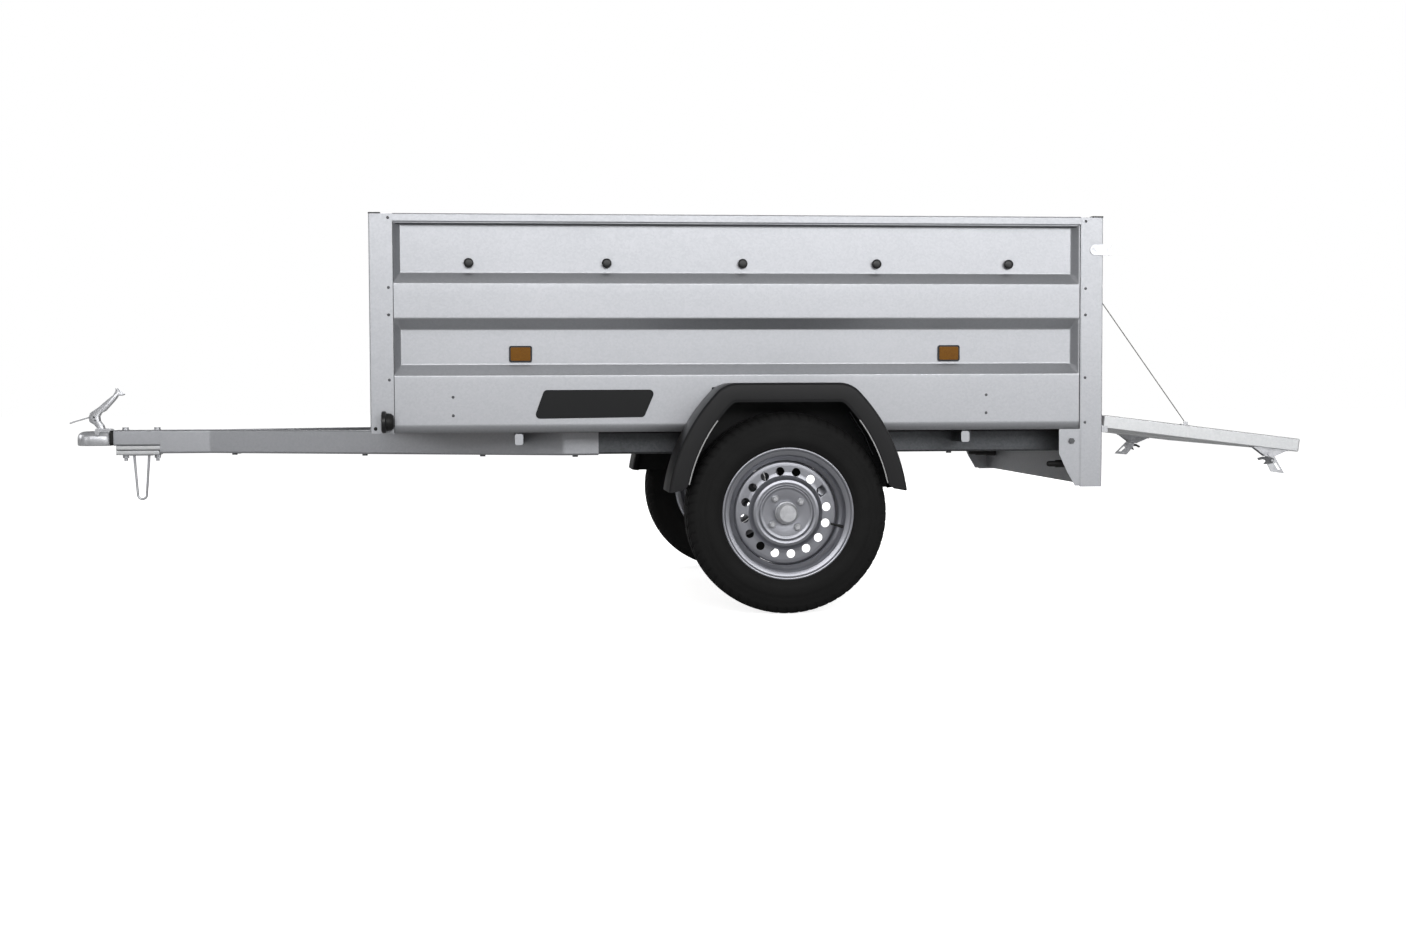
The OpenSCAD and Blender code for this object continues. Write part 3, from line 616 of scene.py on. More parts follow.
class Shop:
    """Turns shapes into dressed pieces that ride on the trailer's bodies."""

    def __init__(self, frame: Frame, nodes: dict[str, bpy.types.Object]) -> None:
        """Keeps the frame and makes the paints.

        Args:
            frame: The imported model's sizes.
            nodes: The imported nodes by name.
        """
        self.frame = frame
        self.nodes = nodes
        self.paints = Paints()

    def shade(self, work: bmesh.types.BMesh, degrees: float) -> None:
        """Shades a mesh smooth, but for edges that turn by an angle or more.

        Args:
            work: The mesh.
            degrees: That angle.
        """
        for face in work.faces:
            face.smooth = True
        for edge in work.edges:
            if len(edge.link_faces) == 2:
                edge.smooth = edge.calc_face_angle(0) < math.radians(degrees)

    def piece(self, name: str, shape: Shape, finish: Finish, body: str | None = "trailer",
              replaces: Sequence[str] = (), bevel: float = 0.0, smooth: float = 32.0,
              weld: bool = True, folded: bool = False) -> bpy.types.Object:
        """Makes a piece.

        Args:
            name: Its name.
            shape: Its shape.
            finish: Its finish.
            body: The body that it rides on, or None to leave it on no body.
            replaces: CAD nodes that it stands for.
            bevel: Width of the rounding of its sharp edges, in millimetres.
            smooth: Angle in degrees below which edges are shaded smooth.
            weld: Whether points that meet are joined.
            folded: Whether it is bent from sheet, so that only its bends are shaded round.

        Returns:
            The piece.
        """
        mesh = bpy.data.meshes.new(name)
        mesh.from_pydata([self.frame.at(p) for p in shape.points], [], shape.faces)
        made = bpy.data.objects.new(name, mesh)
        bpy.context.scene.collection.objects.link(made)
        work = bmesh.new()
        work.from_mesh(mesh)
        if weld:
            bmesh.ops.remove_doubles(work, verts=work.verts, dist=WELD * MM)
        bmesh.ops.recalc_face_normals(work, faces=work.faces)
        if bevel:
            edges = [e for e in work.edges
                     if len(e.link_faces) == 2 and e.calc_face_angle(0) > math.radians(SHARP)]
            bmesh.ops.bevel(work, geom=edges, offset=bevel * MM, segments=2, profile=0.6, affect="EDGES",
                            clamp_overlap=True)
        self.shade(work, BENT if folded else smooth)
        work.to_mesh(mesh)
        work.free()
        mesh.materials.append(self.paints.get(finish))
        if bevel or folded:
            self.apply(made, "WEIGHTED_NORMAL", keep_sharp=True, weight=80)
        if body:
            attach(made, body)
        if replaces:
            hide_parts(*replaces)
        return made

    def solidify(self, made: bpy.types.Object, thick: float) -> None:
        """Gives a sheet a thickness of its own, in millimetres, and keeps the result as its mesh."""
        self.apply(made, "SOLIDIFY", thickness=thick * MM, offset=-1.0, use_even_offset=True)

    def apply(self, made: bpy.types.Object, kind: str, **settings: object) -> None:
        """Applies one modifier to a piece.

        Args:
            made: The piece.
            kind: Blender's name of the modifier type.
            **settings: Properties to set on it.
        """
        mod = made.modifiers.new("work", kind)
        for key, value in settings.items():
            setattr(mod, key, value)
        result = bpy.data.meshes.new_from_object(made.evaluated_get(bpy.context.evaluated_depsgraph_get()))
        made.modifiers.clear()
        old, made.data = made.data, result
        bpy.data.meshes.remove(old)

    def cut(self, made: bpy.types.Object, cutter: Shape) -> None:
        """Cuts a shape out of a piece.

        Args:
            made: The piece.
            cutter: The shape.
        """
        mesh = bpy.data.meshes.new("cutter")
        mesh.from_pydata([self.frame.at(p) for p in cutter.points], [], cutter.faces)
        work = bmesh.new()
        work.from_mesh(mesh)
        bmesh.ops.recalc_face_normals(work, faces=work.faces)
        work.to_mesh(mesh)
        work.free()
        tool = bpy.data.objects.new("cutter", mesh)
        bpy.context.scene.collection.objects.link(tool)
        self.apply(made, "BOOLEAN", object=tool, operation="DIFFERENCE", solver="EXACT")
        bpy.data.objects.remove(tool)
        bpy.data.meshes.remove(mesh)

    def dress(self, nodes: Iterable[str], finish: Finish) -> None:
        """Gives CAD nodes a better material.

        Args:
            nodes: The nodes' names.
            finish: Their finish.
        """
        for node in nodes:
            for slot in self.nodes[node].material_slots:
                slot.material = self.paints.get(finish)


# --------------------------------------------------------------------------------------------
# Sub-assemblies
# --------------------------------------------------------------------------------------------


@dataclass
class Camera:
    """The camera, in millimetres and degrees.

    Attributes:
        frame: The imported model's sizes.
        place: Where it stands.
        yaw: How far it looks towards the rear.
        pitch: How far it looks down.
        roll: How far it leans.
        lens: Focal length.
        film: Width of the film.
    """

    frame: Frame
    place: Point3 = (-809.0, -5937.1, 647.0)
    yaw: float = 6.317
    pitch: float = 2.663
    roll: float = 0.209
    lens: float = 49.289
    film: float = 36.0

    def build(self) -> None:
        """Makes the scene's camera."""
        a, b, c = (math.radians(v) for v in (self.yaw, self.pitch, self.roll))
        ahead = Vector((math.sin(a) * math.cos(b), math.cos(a) * math.cos(b), -math.sin(b)))
        level = Vector((math.cos(a), -math.sin(a), 0.0))
        down = ahead.cross(level)
        right = level * math.cos(c) + down * math.sin(c)
        up = -(down * math.cos(c) - level * math.sin(c))
        data = bpy.data.cameras.new("camera")
        data.sensor_width = self.film
        data.sensor_fit = "HORIZONTAL"
        data.lens = self.lens
        data.clip_end = 100.0
        made = bpy.data.objects.new("camera", data)
        turn = Matrix((right, up, -ahead)).transposed().to_4x4()
        made.matrix_world = Matrix.Translation(self.frame.at(self.place)) @ turn
        bpy.context.scene.collection.objects.link(made)
        bpy.context.scene.camera = made


@dataclass
class Studio:
    """The floor, the room and the lights.

    Attributes:
        frame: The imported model's sizes.
        room_low: Strength of the room's light from the sides.
        room_high: Its strength from above.
        floor_glow: The floor's own light, seen by the camera.
        floor_half: Half the floor's width, in metres.
    """

    frame: Frame
    room_low: float = 0.30
    room_high: float = 0.26
    floor_glow: float = 0.82
    floor_half: float = 30.0

    def build(self) -> None:
        """Makes a pale floor, a white backdrop and soft light from the front."""
        scene = bpy.context.scene
        scene.view_settings.view_transform = "Standard"
        self._room(scene)
        mesh = bpy.data.meshes.new("floor")
        far = self.floor_half
        mesh.from_pydata([(-far, -far, 0), (far, -far, 0), (far, far, 0), (-far, far, 0)], [], [(0, 1, 2, 3)])
        floor = bpy.data.objects.new("floor", mesh)
        scene.collection.objects.link(floor)
        mesh.materials.append(self._floor_paint())
        for name, place, target, size, watts in (
                ("front", (300, -7000, 2800), (150, 0, 600), (7200, 2600), 300),
                ("left", (-6400, -4400, 2000), (-1200, 0, 500), (2600, 2200), 42),
                ("rear", (3400, -5000, 1300), (1000, 0, 450), (1800, 1800), 26),
                ("top", (0, -900, 4300), (0, 0, 0), (3600, 1600), 16),
                ("back", (600, 7000, 5200), (0, 0, 500), (6400, 2200), 260),
                ("tail", (6800, 1200, 2600), (900, 0, 600), (2800, 2200), 130),
                ("nose", (-7200, 1500, 2600), (-1000, 0, 600), (2800, 2200), 70)):
            self._area(name, place, target, size, watts)

    def _floor_paint(self) -> bpy.types.Material:
        """Makes the pale floor's material, which throws little light up under the box.

        Returns:
            The material.
        """
        made = bpy.data.materials.new("pale_floor")
        tree = cleared(made)
        pale = add_node(tree, "ShaderNodeBsdfDiffuse", Color=(0.9, 0.9, 0.9, 1.0))
        glow = add_node(tree, "ShaderNodeEmission", Color=WHITE, Strength=self.floor_glow)
        lit = add_node(tree, "ShaderNodeAddShader")
        tree.links.new(pale.outputs[0], lit.inputs[0])
        tree.links.new(glow.outputs[0], lit.inputs[1])
        dim = add_node(tree, "ShaderNodeBsdfDiffuse", Color=(0.5, 0.5, 0.5, 1.0))
        finish_tree(tree, dim, lit, "ShaderNodeOutputMaterial")
        return made

    def _room(self, scene: bpy.types.Scene) -> None:
        """Makes a white backdrop whose light falls off towards the ceiling.

        Args:
            scene: The scene that it surrounds.
        """
        world = bpy.data.worlds.new("white_room")
        tree = cleared(world)
        way = add_node(tree, "ShaderNodeTexCoord").outputs["Generated"]
        height = add_node(tree, "ShaderNodeSeparateXYZ", Vector=way).outputs["Z"]
        level = add_node(tree, "ShaderNodeMapRange", Value=height, From_Min=0.0, From_Max=0.7,
                         To_Min=self.room_low, To_Max=self.room_high).outputs["Result"]
        soft = add_node(tree, "ShaderNodeBackground", Color=WHITE, Strength=level)
        plain = add_node(tree, "ShaderNodeBackground", Color=WHITE, Strength=1.0)
        finish_tree(tree, soft, plain, "ShaderNodeOutputWorld")
        scene.world = world

    def _area(self, name: str, place: Point3, target: Point3, size: Point2, watts: float) -> None:
        """Adds one soft rectangular light.

        Args:
            name: Its name.
            place: Its middle.
            target: The point that it faces.
            size: Its width and height.
            watts: Its power.
        """
        data = bpy.data.lights.new(name, "AREA")
        data.shape = "RECTANGLE"
        data.size = size[0] * MM
        data.size_y = size[1] * MM
        data.energy = watts
        made = bpy.data.objects.new(name, data)
        made.location = self.frame.at(place)
        made.rotation_euler = (self.frame.at(target) - made.location).to_track_quat("-Z", "Y").to_euler()
        bpy.context.scene.collection.objects.link(made)


@dataclass
class Wires:
    """The two wires that hold the lowered tailgate.

    Attributes:
        shop: The workshop.
        diameter: Their thickness.
    """

    shop: Shop
    diameter: float = 3.2

    def build(self) -> None:
        """Makes both wires, from the post's stud to the tailgate's eye."""
        f = self.shop.frame
        for side in Side:
            low, high = f.node(f"wire_{side.word}")
            y = (low[1] + high[1]) / 2
            start, end = (low[0] + 1.2, y, high[2] - 1.0), (high[0] - 1.2, y, low[2] + 1.0)
            path = [tuple(Vector(start).lerp(Vector(end), k / 15)) for k in range(16)]
            made = self.shop.piece(f"tailgate_wire_{side.word}", Shape().tube(path, self.diameter / 2, 10),
                                   WIRE, None, replaces=[f"wire_{side.word}"])
            tuple(f.at(path[0]))
            tuple(f.at(path[-1]))
            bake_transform(made)
            tuple(f.at(start))
            [tuple(f.at(p)) for p in path]


@dataclass
class Wheels:
    """Tyres, rims, hubs and bolts.

    Attributes:
        shop: The workshop.
        flange_r: Radius of the rim's flange.
        bead_r: Radius of the tyre's seat.
        vents: Number of vent holes.
        vent_circle: Radius of their circle.
        vent_r: Radius of a vent hole.
        bolt_circle: Radius of the bolts' circle.
        cap_r: Radius of the grease cap.
        disc_out: How far the disc's edge lies outside the tyre's middle.
        seat_out: How far the bolts' seat does.
        blocks: Tread blocks round the tyre.
        around: Steps round the tyre.
    """

    shop: Shop
    flange_r: float = 182.5
    bead_r: float = 165.0
    vents: int = 16
    vent_circle: float = 115.0
    vent_r: float = 12.0
    bolt_circle: float = 50.0
    cap_r: float = 28.6
    disc_out: float = 16.0
    seat_out: float = 28.0
    blocks: int = 60
    around: int = 480

    def build(self) -> None:
        """Makes both wheels."""
        for side in Side:
            self._tyre(side)
            self._rim(side)
            self._hub(side)

    def _tyre(self, side: Side) -> None:
        """Makes a tyre with its tread and sidewall steps, and the valve.

        Args:
            side: The side that it is on.
        """
        f = self.shop.frame
        m, w, r = f.tyre_y, f.tyre_w / 2, f.wheel_r
        b = self.bead_r
        face = [(b + 0.3, m + 54), (b + 5, m + 59), (b + 13, m + 61), (b + 18, m + 66), (b + 26, m + w - 5),
                (r - 82, m + w - 1.5), (r - 74, m + w - 0.2), (r - 66, m + w), (r - 58, m + w - 0.4),
                (r - 50, m + w - 1.6), (r - 48, m + w - 2.8), (r - 44, m + w - 3.0), (r - 36, m + w - 5.0),
                (r - 28, m + w - 8.0), (r - 25, m + w - 8.2), (r - 20, m + w - 10.0)]
        shoulder = [(r - 13, m + w - 13), (r - 8, m + w - 17), (r - 4.5, m + w - 22), (r - 2.6, m + w - 27)]
        half = steps = 46
        grooves = (-27.0, 0.0, 27.0)
        crown = []
        for k in range(steps + 1):
            y = half - 2 * half * k / steps
            crown.append((r - 2.4 * (y / half) ** 2, m + y))
        outer = face + shoulder + crown[1:-1]
        outer += [(a, 2 * m - c) for a, c in reversed(shoulder)] + [(a, 2 * m - c) for a, c in reversed(face)]
        inner = [(b + 0.3, m - 40), (b + 16, m - 44), (r - 66, m - w + 8), (r - 24, m - w + 18), (r - 12, m),
                 (r - 24, m + w - 18), (r - 66, m + w - 8), (b + 16, m + 44), (b + 0.3, m + 40)]
        profile = outer + inner

        def depth(a: float, radius: float, y: float) -> float:
            """Gives how deep the tread is cut at a point of the tyre.

            Args:
                a: Angle round the wheel, in radians.
                radius: Distance from the axis.
                y: Distance from the trailer's middle plane.

            Returns:
                The depth.
            """
            if radius < r - 16:
                return 0.0
            local = y - m
            groove = max((max(0.0, 1.0 - max(0.0, abs(local - g) - 2.2) / 1.6) for g in grooves))
            turn = a / (2 * math.pi) * self.blocks + 0.02 * abs(local) + (0.5 if abs(local) < 27 else 0.0)
            across = abs(turn - round(turn)) * 2 * math.pi * r / self.blocks
            wide = 2.2 if abs(local) > 29 else 1.0
            slit = max(0.0, 1.0 - max(0.0, across - wide) / 1.6) if abs(abs(local) - 13.5) > 6 else 0.0
            return max(6.0 * groove, (4.5 if abs(local) > 29 else 3.0) * slit)

        rows = []
        for k in range(self.around):
            a = 2 * math.pi * k / self.around
            row = []
            for i, (radius, y) in enumerate(profile):
                q = radius - (depth(a, radius, y) if i < len(outer) else 0.0)
                row.append((q * math.cos(a), side.value * y, f.wheel_z + q * math.sin(a)))
            rows.append(row)
        shape = Shape().grid(rows, close_u=True, close_v=True)
        self.shop.piece(f"tyre_carcass_{side.word}", shape, TYRE, f"wheel_{side.word}",
                        [f"tyre_{side.word}"], smooth=38)
        valve = Shape()
        a = math.radians(14)
        for r0, r1, rad in ((146, 168, 4.2), (124, 147, 3.0)):
            p = [(q * math.cos(a), side.value * (m + 44 + (168 - q) * 0.18), f.wheel_z - q * math.sin(a))
                 for q in (r1, r0)]
            valve.tube(p, rad, 14)
        self.shop.piece(f"valve_{side.word}", valve, RUBBER, f"wheel_{side.word}")

    def _rim(self, side: Side) -> None:
        """Makes a rim's barrel and its dished disc with vent holes.

        Args:
            side: The side that it is on.
        """
        f = self.shop.frame
        face = f.tyre_y + 67
        disc, seat = f.tyre_y + self.disc_out, f.tyre_y + self.seat_out
        b, fr = self.bead_r, self.flange_r
        outline = [(fr, face - 2.5), (fr - 1.5, face - 0.3), (fr - 4, face), (fr - 7, face - 1),
                   (fr - 9, face - 4), (fr - 11, face - 5), (b - 4, face - 8), (b - 7, face - 28),
                   (b - 12, face - 34), (147, face - 39), (145, face - 46)]
        back = [(143, disc - 9), (136, disc - 4), (100, disc - 4), (92, disc + 10), (74, disc + 10),
                (64, seat), (self.cap_r + 2.5, seat), (self.cap_r + 2.5, seat + 4), (65, seat + 4),
                (72, seat + 7), (77, disc + 13.4), (84, disc + 15), (91, disc + 13.6), (97, disc + 6),
                (103, disc + 1), (112, disc), (130, disc), (138, disc - 0.6), (143, disc - 4)]
        barrel = [(144, disc - 4), (144, face - 72), (b - 7, face - 86), (b - 4, face - 126),
                  (fr - 12, face - 130), (fr - 3, face - 133.8), (fr, face - 131.5), (fr - 8, face - 126),
                  (b, face - 123), (b - 3, face - 84), (148, face - 70), (148, face - 40), (b - 3, face - 30),
                  (b, face - 11), (fr - 9, face - 8), (fr - 1, face - 5)]
        steps = 144
        body = Shape().turned(rounded(outline + barrel, 2.0, 2, closed=True), 0, f.wheel_z, side.value, steps)
        self.shop.piece(f"rim_barrel_{side.word}", body, WHEEL_PAINT, f"wheel_{side.word}",
                        [f"rim_{side.word}"], smooth=40)
        dish = Shape().turned(rounded(back, 2.5, 3, closed=True), 0, f.wheel_z, side.value, steps)
        made = self.shop.piece(f"rim_disc_{side.word}", dish, WHEEL_PAINT, f"wheel_{side.word}", smooth=40)
        cutter = Shape()
        for k in range(self.vents):
            a = math.radians(360 / self.vents * k + 7.5)
            cx, cz = self.vent_circle * math.cos(a), f.wheel_z + self.vent_circle * math.sin(a)
            cutter.prism(round_disc(cx, cz, self.vent_r), xz, side.value * (disc - 30),
                         side.value * (disc + 30))
        self.shop.cut(made, cutter)
        work = bmesh.new()
        work.from_mesh(made.data)
        self.shop.shade(work, PIERCED)
        work.to_mesh(made.data)
        work.free()

    def _hub(self, side: Side) -> None:
        """Makes a hub's grease cap and its wheel bolts.

        Args:
            side: The side that it is on.
        """
        f = self.shop.frame
        seat = f.tyre_y + self.seat_out
        c = self.cap_r
        cap = [(0.01, seat + 31), (5, seat + 30.4), (c - 14, seat + 29.6), (c - 12, seat + 30.4),
               (c - 10, seat + 33), (c - 7, seat + 34.4), (c - 4.5, seat + 33.6), (c - 2, seat + 30),
               (c - 0.5, seat + 22), (c - 0.5, seat + 12), (c + 0.5, seat + 10), (c + 0.5, seat + 6),
               (c - 4, seat + 6), (c - 4, seat + 22), (c - 14, seat + 26), (0.01, seat + 27)]
        self.shop.piece(f"grease_cap_{side.word}", Shape().turned(cap, 0, f.wheel_z, side.value, 64), ZINC,
                        f"wheel_{side.word}", smooth=50)
        bolts = Shape()
        collar = [(0.01, seat + 4.1), (10.8, seat + 4.1), (10.4, seat + 6.2), (9, seat + 8), (0.01, seat + 8)]
        crown = [(0.01, seat + 16), (7.2, seat + 16), (5.6, seat + 17.6), (0.01, seat + 17.6)]
        for k in range(4):
            a = math.radians(90 * k + 38)
            cx, cz = self.bolt_circle * math.cos(a), f.wheel_z + self.bolt_circle * math.sin(a)
            bolts.turned(collar, cx, cz, side.value, 28)
            bolts.prism(hexagon(cx, cz, 8.6, 17 * k), xz, side.value * (seat + 8), side.value * (seat + 16))
            bolts.turned(crown, cx, cz, side.value, 24)
        self.shop.piece(f"wheel_bolt_heads_{side.word}", bolts, ZINC, f"wheel_{side.word}",
                        [f"wheel_bolts_{side.word}"], weld=False)
        self.shop.dress([f"hub_{side.word}"], CAST_ZINC)


@dataclass
class Box:
    """Pressed sides, folded posts, top rails, caps, knobs, rivets, reflectors and plates.

    Attributes:
        shop: The workshop.
        depth: Depth of the recesses.
        sheet: Thickness of the sheet.
        slope: Width of a recess's slope.
        side_slope: The same at its ends.
        crisp_slope: The same under the top rail.
        soft: Rounding of the slopes' edges.
        skirt: How far the sheet runs on behind the posts.
        upper_pan: Start of the upper recess as a share of the height, and its end below the top.
        lower_pan: Start of the lower recess above the deck, and its end as a share of the height.
        knob_drop: How far the knobs lie below the top.
        knob_share: Distance between two knobs, as a share of the recess's length.
        reflector_up: How far the reflectors lie above the deck.
    """

    shop: Shop
    depth: float = 25.0
    sheet: float = 2.0
    slope: float = 29.0
    side_slope: float = 18.0
    crisp_slope: float = 3.5
    soft: float = 2.2
    skirt: float = 30.0
    upper_pan: Point2 = (0.686, 25.0)
    lower_pan: Point2 = (159.0, 0.524)
    knob_drop: float = 133.0
    knob_share: float = 0.197
    reflector_up: float = 218.0

    def build(self) -> None:
        """Makes the box."""
        for side in Side:
            self._side(side)
            self._posts(side)
            self._trim(side)
        self._front()
        self.shop.dress(["floor_board"], PLYWOOD)

    def _lines(self, breaks: Sequence[float], low: float, high: float, fine: float, reach: float,
               coarse: float) -> list[float]:
        """Places grid lines close together near each break and wide apart elsewhere.

        Args:
            breaks: Where the sheet bends.
            low: The first line.
            high: The last line.
            fine: Step near a break.
            reach: How far from a break the fine steps go.
            coarse: The widest step.

        Returns:
            The lines' places.
        """
        out = [low]
        while out[-1] < high - 1e-6:
            here = out[-1]
            near = min(abs(here - b) for b in breaks)
            step = fine if near < reach else min(coarse, max(fine, near - reach + fine))
            out.append(min(high, here + step))
        return out

    def _relief(self, x: float, z: float, ends: Point2, pans: Sequence[tuple[float, float, float]]) -> float:
        """Gives how far the pressed sheet lies behind the skin at a point.

        Args:
            x: Place along the sheet.
            z: Height.
            ends: Where the recesses start and end.
            pans: Each recess's lower edge, upper edge and upper slope's width.

        Returns:
            The distance.
        """
        deepest = 0.0
        for z0, z1, top_slope in pans:
            d = self.depth
            ways = ((x - ends[0]) * d / self.side_slope, (ends[1] - x) * d / self.side_slope,
                    (z - z0) * d / self.slope, (z1 - z) * d / top_slope)
            least = min(ways)
            soft = self.soft
            if least <= -soft:
                value = 0.0
            elif least < soft:
                value = (least + soft) ** 2 / (4 * soft)
            else:
                value = least
            if value > d + soft:
                value = d
            elif value > d - soft:
                value = d - (d + soft - value) ** 2 / (4 * soft)
            deepest = max(deepest, value)
        return deepest

    def _pressed(self, ends: Point2, span: Point2, place: Callable[[float, float, float], Point3]) -> Shape:
        """Makes a sheet with two pressed recesses.

        Args:
            ends: Where the recesses start and end.
            span: Where the sheet starts and ends.
            place: Turns place along, depth and height into a point.

        Returns:
            The sheet.
        """
        f = self.shop.frame
        height = f.top - f.deck
        pans = ((f.deck + height * self.upper_pan[0], f.top - self.upper_pan[1], self.crisp_slope),
                (f.deck + self.lower_pan[0], f.deck + height * self.lower_pan[1], self.slope))
        zs = self._lines([v for p in pans for v in (p[0], p[0] + self.slope, p[1] - p[2], p[1])],
                         f.deck + 0.2, f.top - 1, 1.6, 5.0, 24.0)
        xs = self._lines([ends[0], ends[0] + self.side_slope, ends[1] - self.side_slope, ends[1]],
                         *span, 1.8, 6.0, 40.0)
        rows = [[place(x, self._relief(x, z, ends, pans), z) for x in xs] for z in zs]
        return Shape().grid(rows)

    def _side(self, side: Side) -> None:
        """Makes a side's pressed sheet, top rail and bottom lip, with a dark strip of painted shade under the
        rail and thin strips of painted shadow along the posts.

        Args:
            side: The side that it is on.
        """
        f = self.shop.frame
        s = side.value
        skin = f.half_w - self.sheet
        x0, x1 = f.box_x0 + f.post_w, f.box_x1 - f.post_w
        shape = self._pressed((x0, x1 - 4), (x0 - self.skirt, x1 + self.skirt),
                              lambda x, d, z: (x, s * (skin - d), z))
        made = self.shop.piece(f"pressed_side_{side.word}", shape, GALVANISED,
                               replaces=[f"side_panel_{side.word}"], smooth=60)
        self._thicken(made, s)
        y = f.half_w
        rail = strip([(s * (y - 3), f.top - 21), (s * y, f.top - 20), (s * y, f.top), (s * (y - 32), f.top),
                      (s * (y - 32), f.top - 26)], -s * 1.8, 2.5)
        self.shop.piece(f"top_rail_{side.word}", Shape().prism(rail, yz, x0 - 0.5, x1 + 0.5), GALVANISED,
                        folded=True)
        # A dark strip under the top rail: painted shade where the rail overhangs the recess.
        rail_shade = Shape().block((x0 + 2, s * (y - 9), f.top - 27.5), (x1 - 6, s * (y - 24), f.top - 21))
        self.shop.piece(f"rail_painted_shade_{side.word}", rail_shade, PAINTED_SHADE_LINE, bevel=0.8)
        lip = Shape().block((x0 - 20, s * (skin - 42), f.deck), (x1 + 20, s * (skin - 0.8), f.deck + 1.5))
        self.shop.piece(f"bottom_lip_{side.word}", lip, GALVANISED, folded=True)
        # Thin dark strips at the posts' edges: painted shadow that the posts cast onto the sheet.
        post_shadows = Shape()
        for x in (x0, x1 - 0.4):
            post_shadows.block((x - 1.2, s * (y + 0.15), f.deck + 1), (x + 0.4, s * skin, f.top - 22))
        self.shop.piece(f"post_painted_shadow_{side.word}", post_shadows, PAINTED_SHADE_LINE)

    def _thicken(self, made: bpy.types.Object, s: int) -> None:
        """Gives a side's sheet its thickness on the inner side of the box.

        Args:
            made: The sheet.
            s: The sign of Y on that side.
        """
        mean = sum((v.normal.y for v in made.data.vertices)) * s
        if mean < 0:
            made.data.flip_normals()
        self.shop.solidify(made, self.sheet)
        for poly in made.data.polygons:
            poly.use_smooth = True

    def _front(self) -> None:
        """Makes the front's pressed sheet and top rail."""
        f = self.shop.frame
        y = f.half_w - 42
        x0 = f.box_x0 + self.sheet
        shape = self._pressed((-y, y), (-y - self.skirt, y + self.skirt), lambda u, d, z: (x0 + d, u, z))
        made = self.shop.piece("pressed_front", shape, GALVANISED, replaces=["front_panel"], smooth=60)
        if sum(v.normal.x for v in made.data.vertices) > 0:
            made.data.flip_normals()
        self.shop.solidify(made, self.sheet)
        rail = strip([(x0 - 1, f.top - 20), (x0 - 1, f.top), (x0 + 30, f.top), (x0 + 30, f.top - 26)],
                     -1.8, 2.5)
        self.shop.piece("top_rail_front", Shape().prism(rail, xz, -y, y), GALVANISED, folded=True)

    def _posts(self, side: Side) -> None:
        """Makes a side's two folded posts.

        Args:
            side: The side that it is on.
        """
        f = self.shop.frame
        s = side.value
        w, y = f.post_w, f.half_w
        front = strip([(f.box_x0 + w, s * y), (f.box_x0, s * y), (f.box_x0, s * (y - 40))],
                      s * self.sheet, 3.5)
        self.shop.piece(f"folded_front_post_{side.word}", Shape().prism(front, xy, f.deck, f.top), GALVANISED,
                        replaces=[f"front_post_{side.word}"], bevel=0.3, folded=True)
        rear = strip([(f.box_x1 - w, s * (y - 1.5)), (f.box_x1 - w + 5, s * y), (f.box_x1, s * y),
                      (f.box_x1, s * (y - 33))], -s * self.sheet, 3.5)
        self.shop.piece(f"folded_rear_post_{side.word}", Shape().prism(rear, xy, f.post_foot, f.top),
                        GALVANISED, replaces=[f"rear_post_{side.word}"], bevel=0.3, folded=True)

    def _trim(self, side: Side) -> None:
        """Makes a side's caps, rivets, screw, knobs, reflectors and bare plate.

        Args:
            side: The side that it is on.
        """
        f = self.shop.frame
        s = side.value
        y = f.half_w
        back = y - self.sheet - self.depth
        caps, heads, knobs, refl, cases = Shape(), Shape(), Shape(), Shape(), Shape()
        for a, b in ((f.box_x0 - 1, f.box_x0 + 32), (f.box_x1 - 32, f.box_x1 + 1)):
            outline = oblong(a, s * (y + 1), b, s * (y - 31), 4, 3)
            caps.prism(outline, xy, f.top, f.top + 4)
        self.shop.piece(f"post_end_caps_{side.word}", caps, KNOB, replaces=["post_caps"], bevel=0.8)
        spots = [(x, f.deck + z, y) for x in (f.box_x0 + 53, f.box_x1 - 51) for z in (147, 326, 401, 592)]
        spots += [(x, f.deck + z, y - self.sheet) for x in (f.box_x0 + 226, f.box_x1 - 340) for z in (48, 99)]
        spots += [(f.box_x1 - 51, f.deck + 19, y)]
        for x, z, face in spots:
            heads.turned([(0.01, face + 1.5), (2.0, face + 1.4), (3.6, face + 0.7), (4.2, face - 0.2),
                          (0.01, face - 0.2)], x, z, s, 20)
        self.shop.piece(f"rivet_heads_{side.word}", heads, DARK_ZINC, replaces=["rivets"], weld=False,
                        smooth=50)
        head = [(0.01, y + 2.4), (3.4, y + 2.2), (5.0, y + 0.9), (5.2, y - 0.2), (0.01, y - 0.2)]
        screw = Shape().turned(head, f.box_x0 + 14, f.deck + 13, s, 24)
        self.shop.piece(f"corner_screw_{side.word}", screw, RUBBER, smooth=50)
        knob = [(0.01, back), (10, back), (9, back + 1.5), (7.5, back + 3), (7.2, back + 7), (9, back + 8),
                (12.6, back + 8.6), (13.5, back + 10), (13.2, back + 12), (11.5, back + 13.4),
                (6, back + 14), (0.01, back + 14)]
        pitch = (f.box_x1 - f.box_x0 - 2 * f.post_w) * self.knob_share
        for k in range(5):
            x = (f.box_x0 + f.box_x1) / 2 + pitch * (k - 2)
            knobs.turned(knob, x, f.top - self.knob_drop, s, 36)
        self.shop.piece(f"tarpaulin_knobs_{side.word}", knobs, KNOB, replaces=["tarp_knobs"], weld=False,
                        smooth=42)
        for x in (f.box_x0 + 413, f.box_x1 - 444):
            z = f.deck + self.reflector_up
            case = oblong(x - 32, z - 23, x + 32, z + 23, 6)
            lens = oblong(x - 27.5, z - 18.5, x + 27.5, z + 18.5, 4)
            cases.prism(case, xz, s * back, s * (back + 4.5))
            refl.prism(lens, xz, s * (back + 4), s * (back + 6))
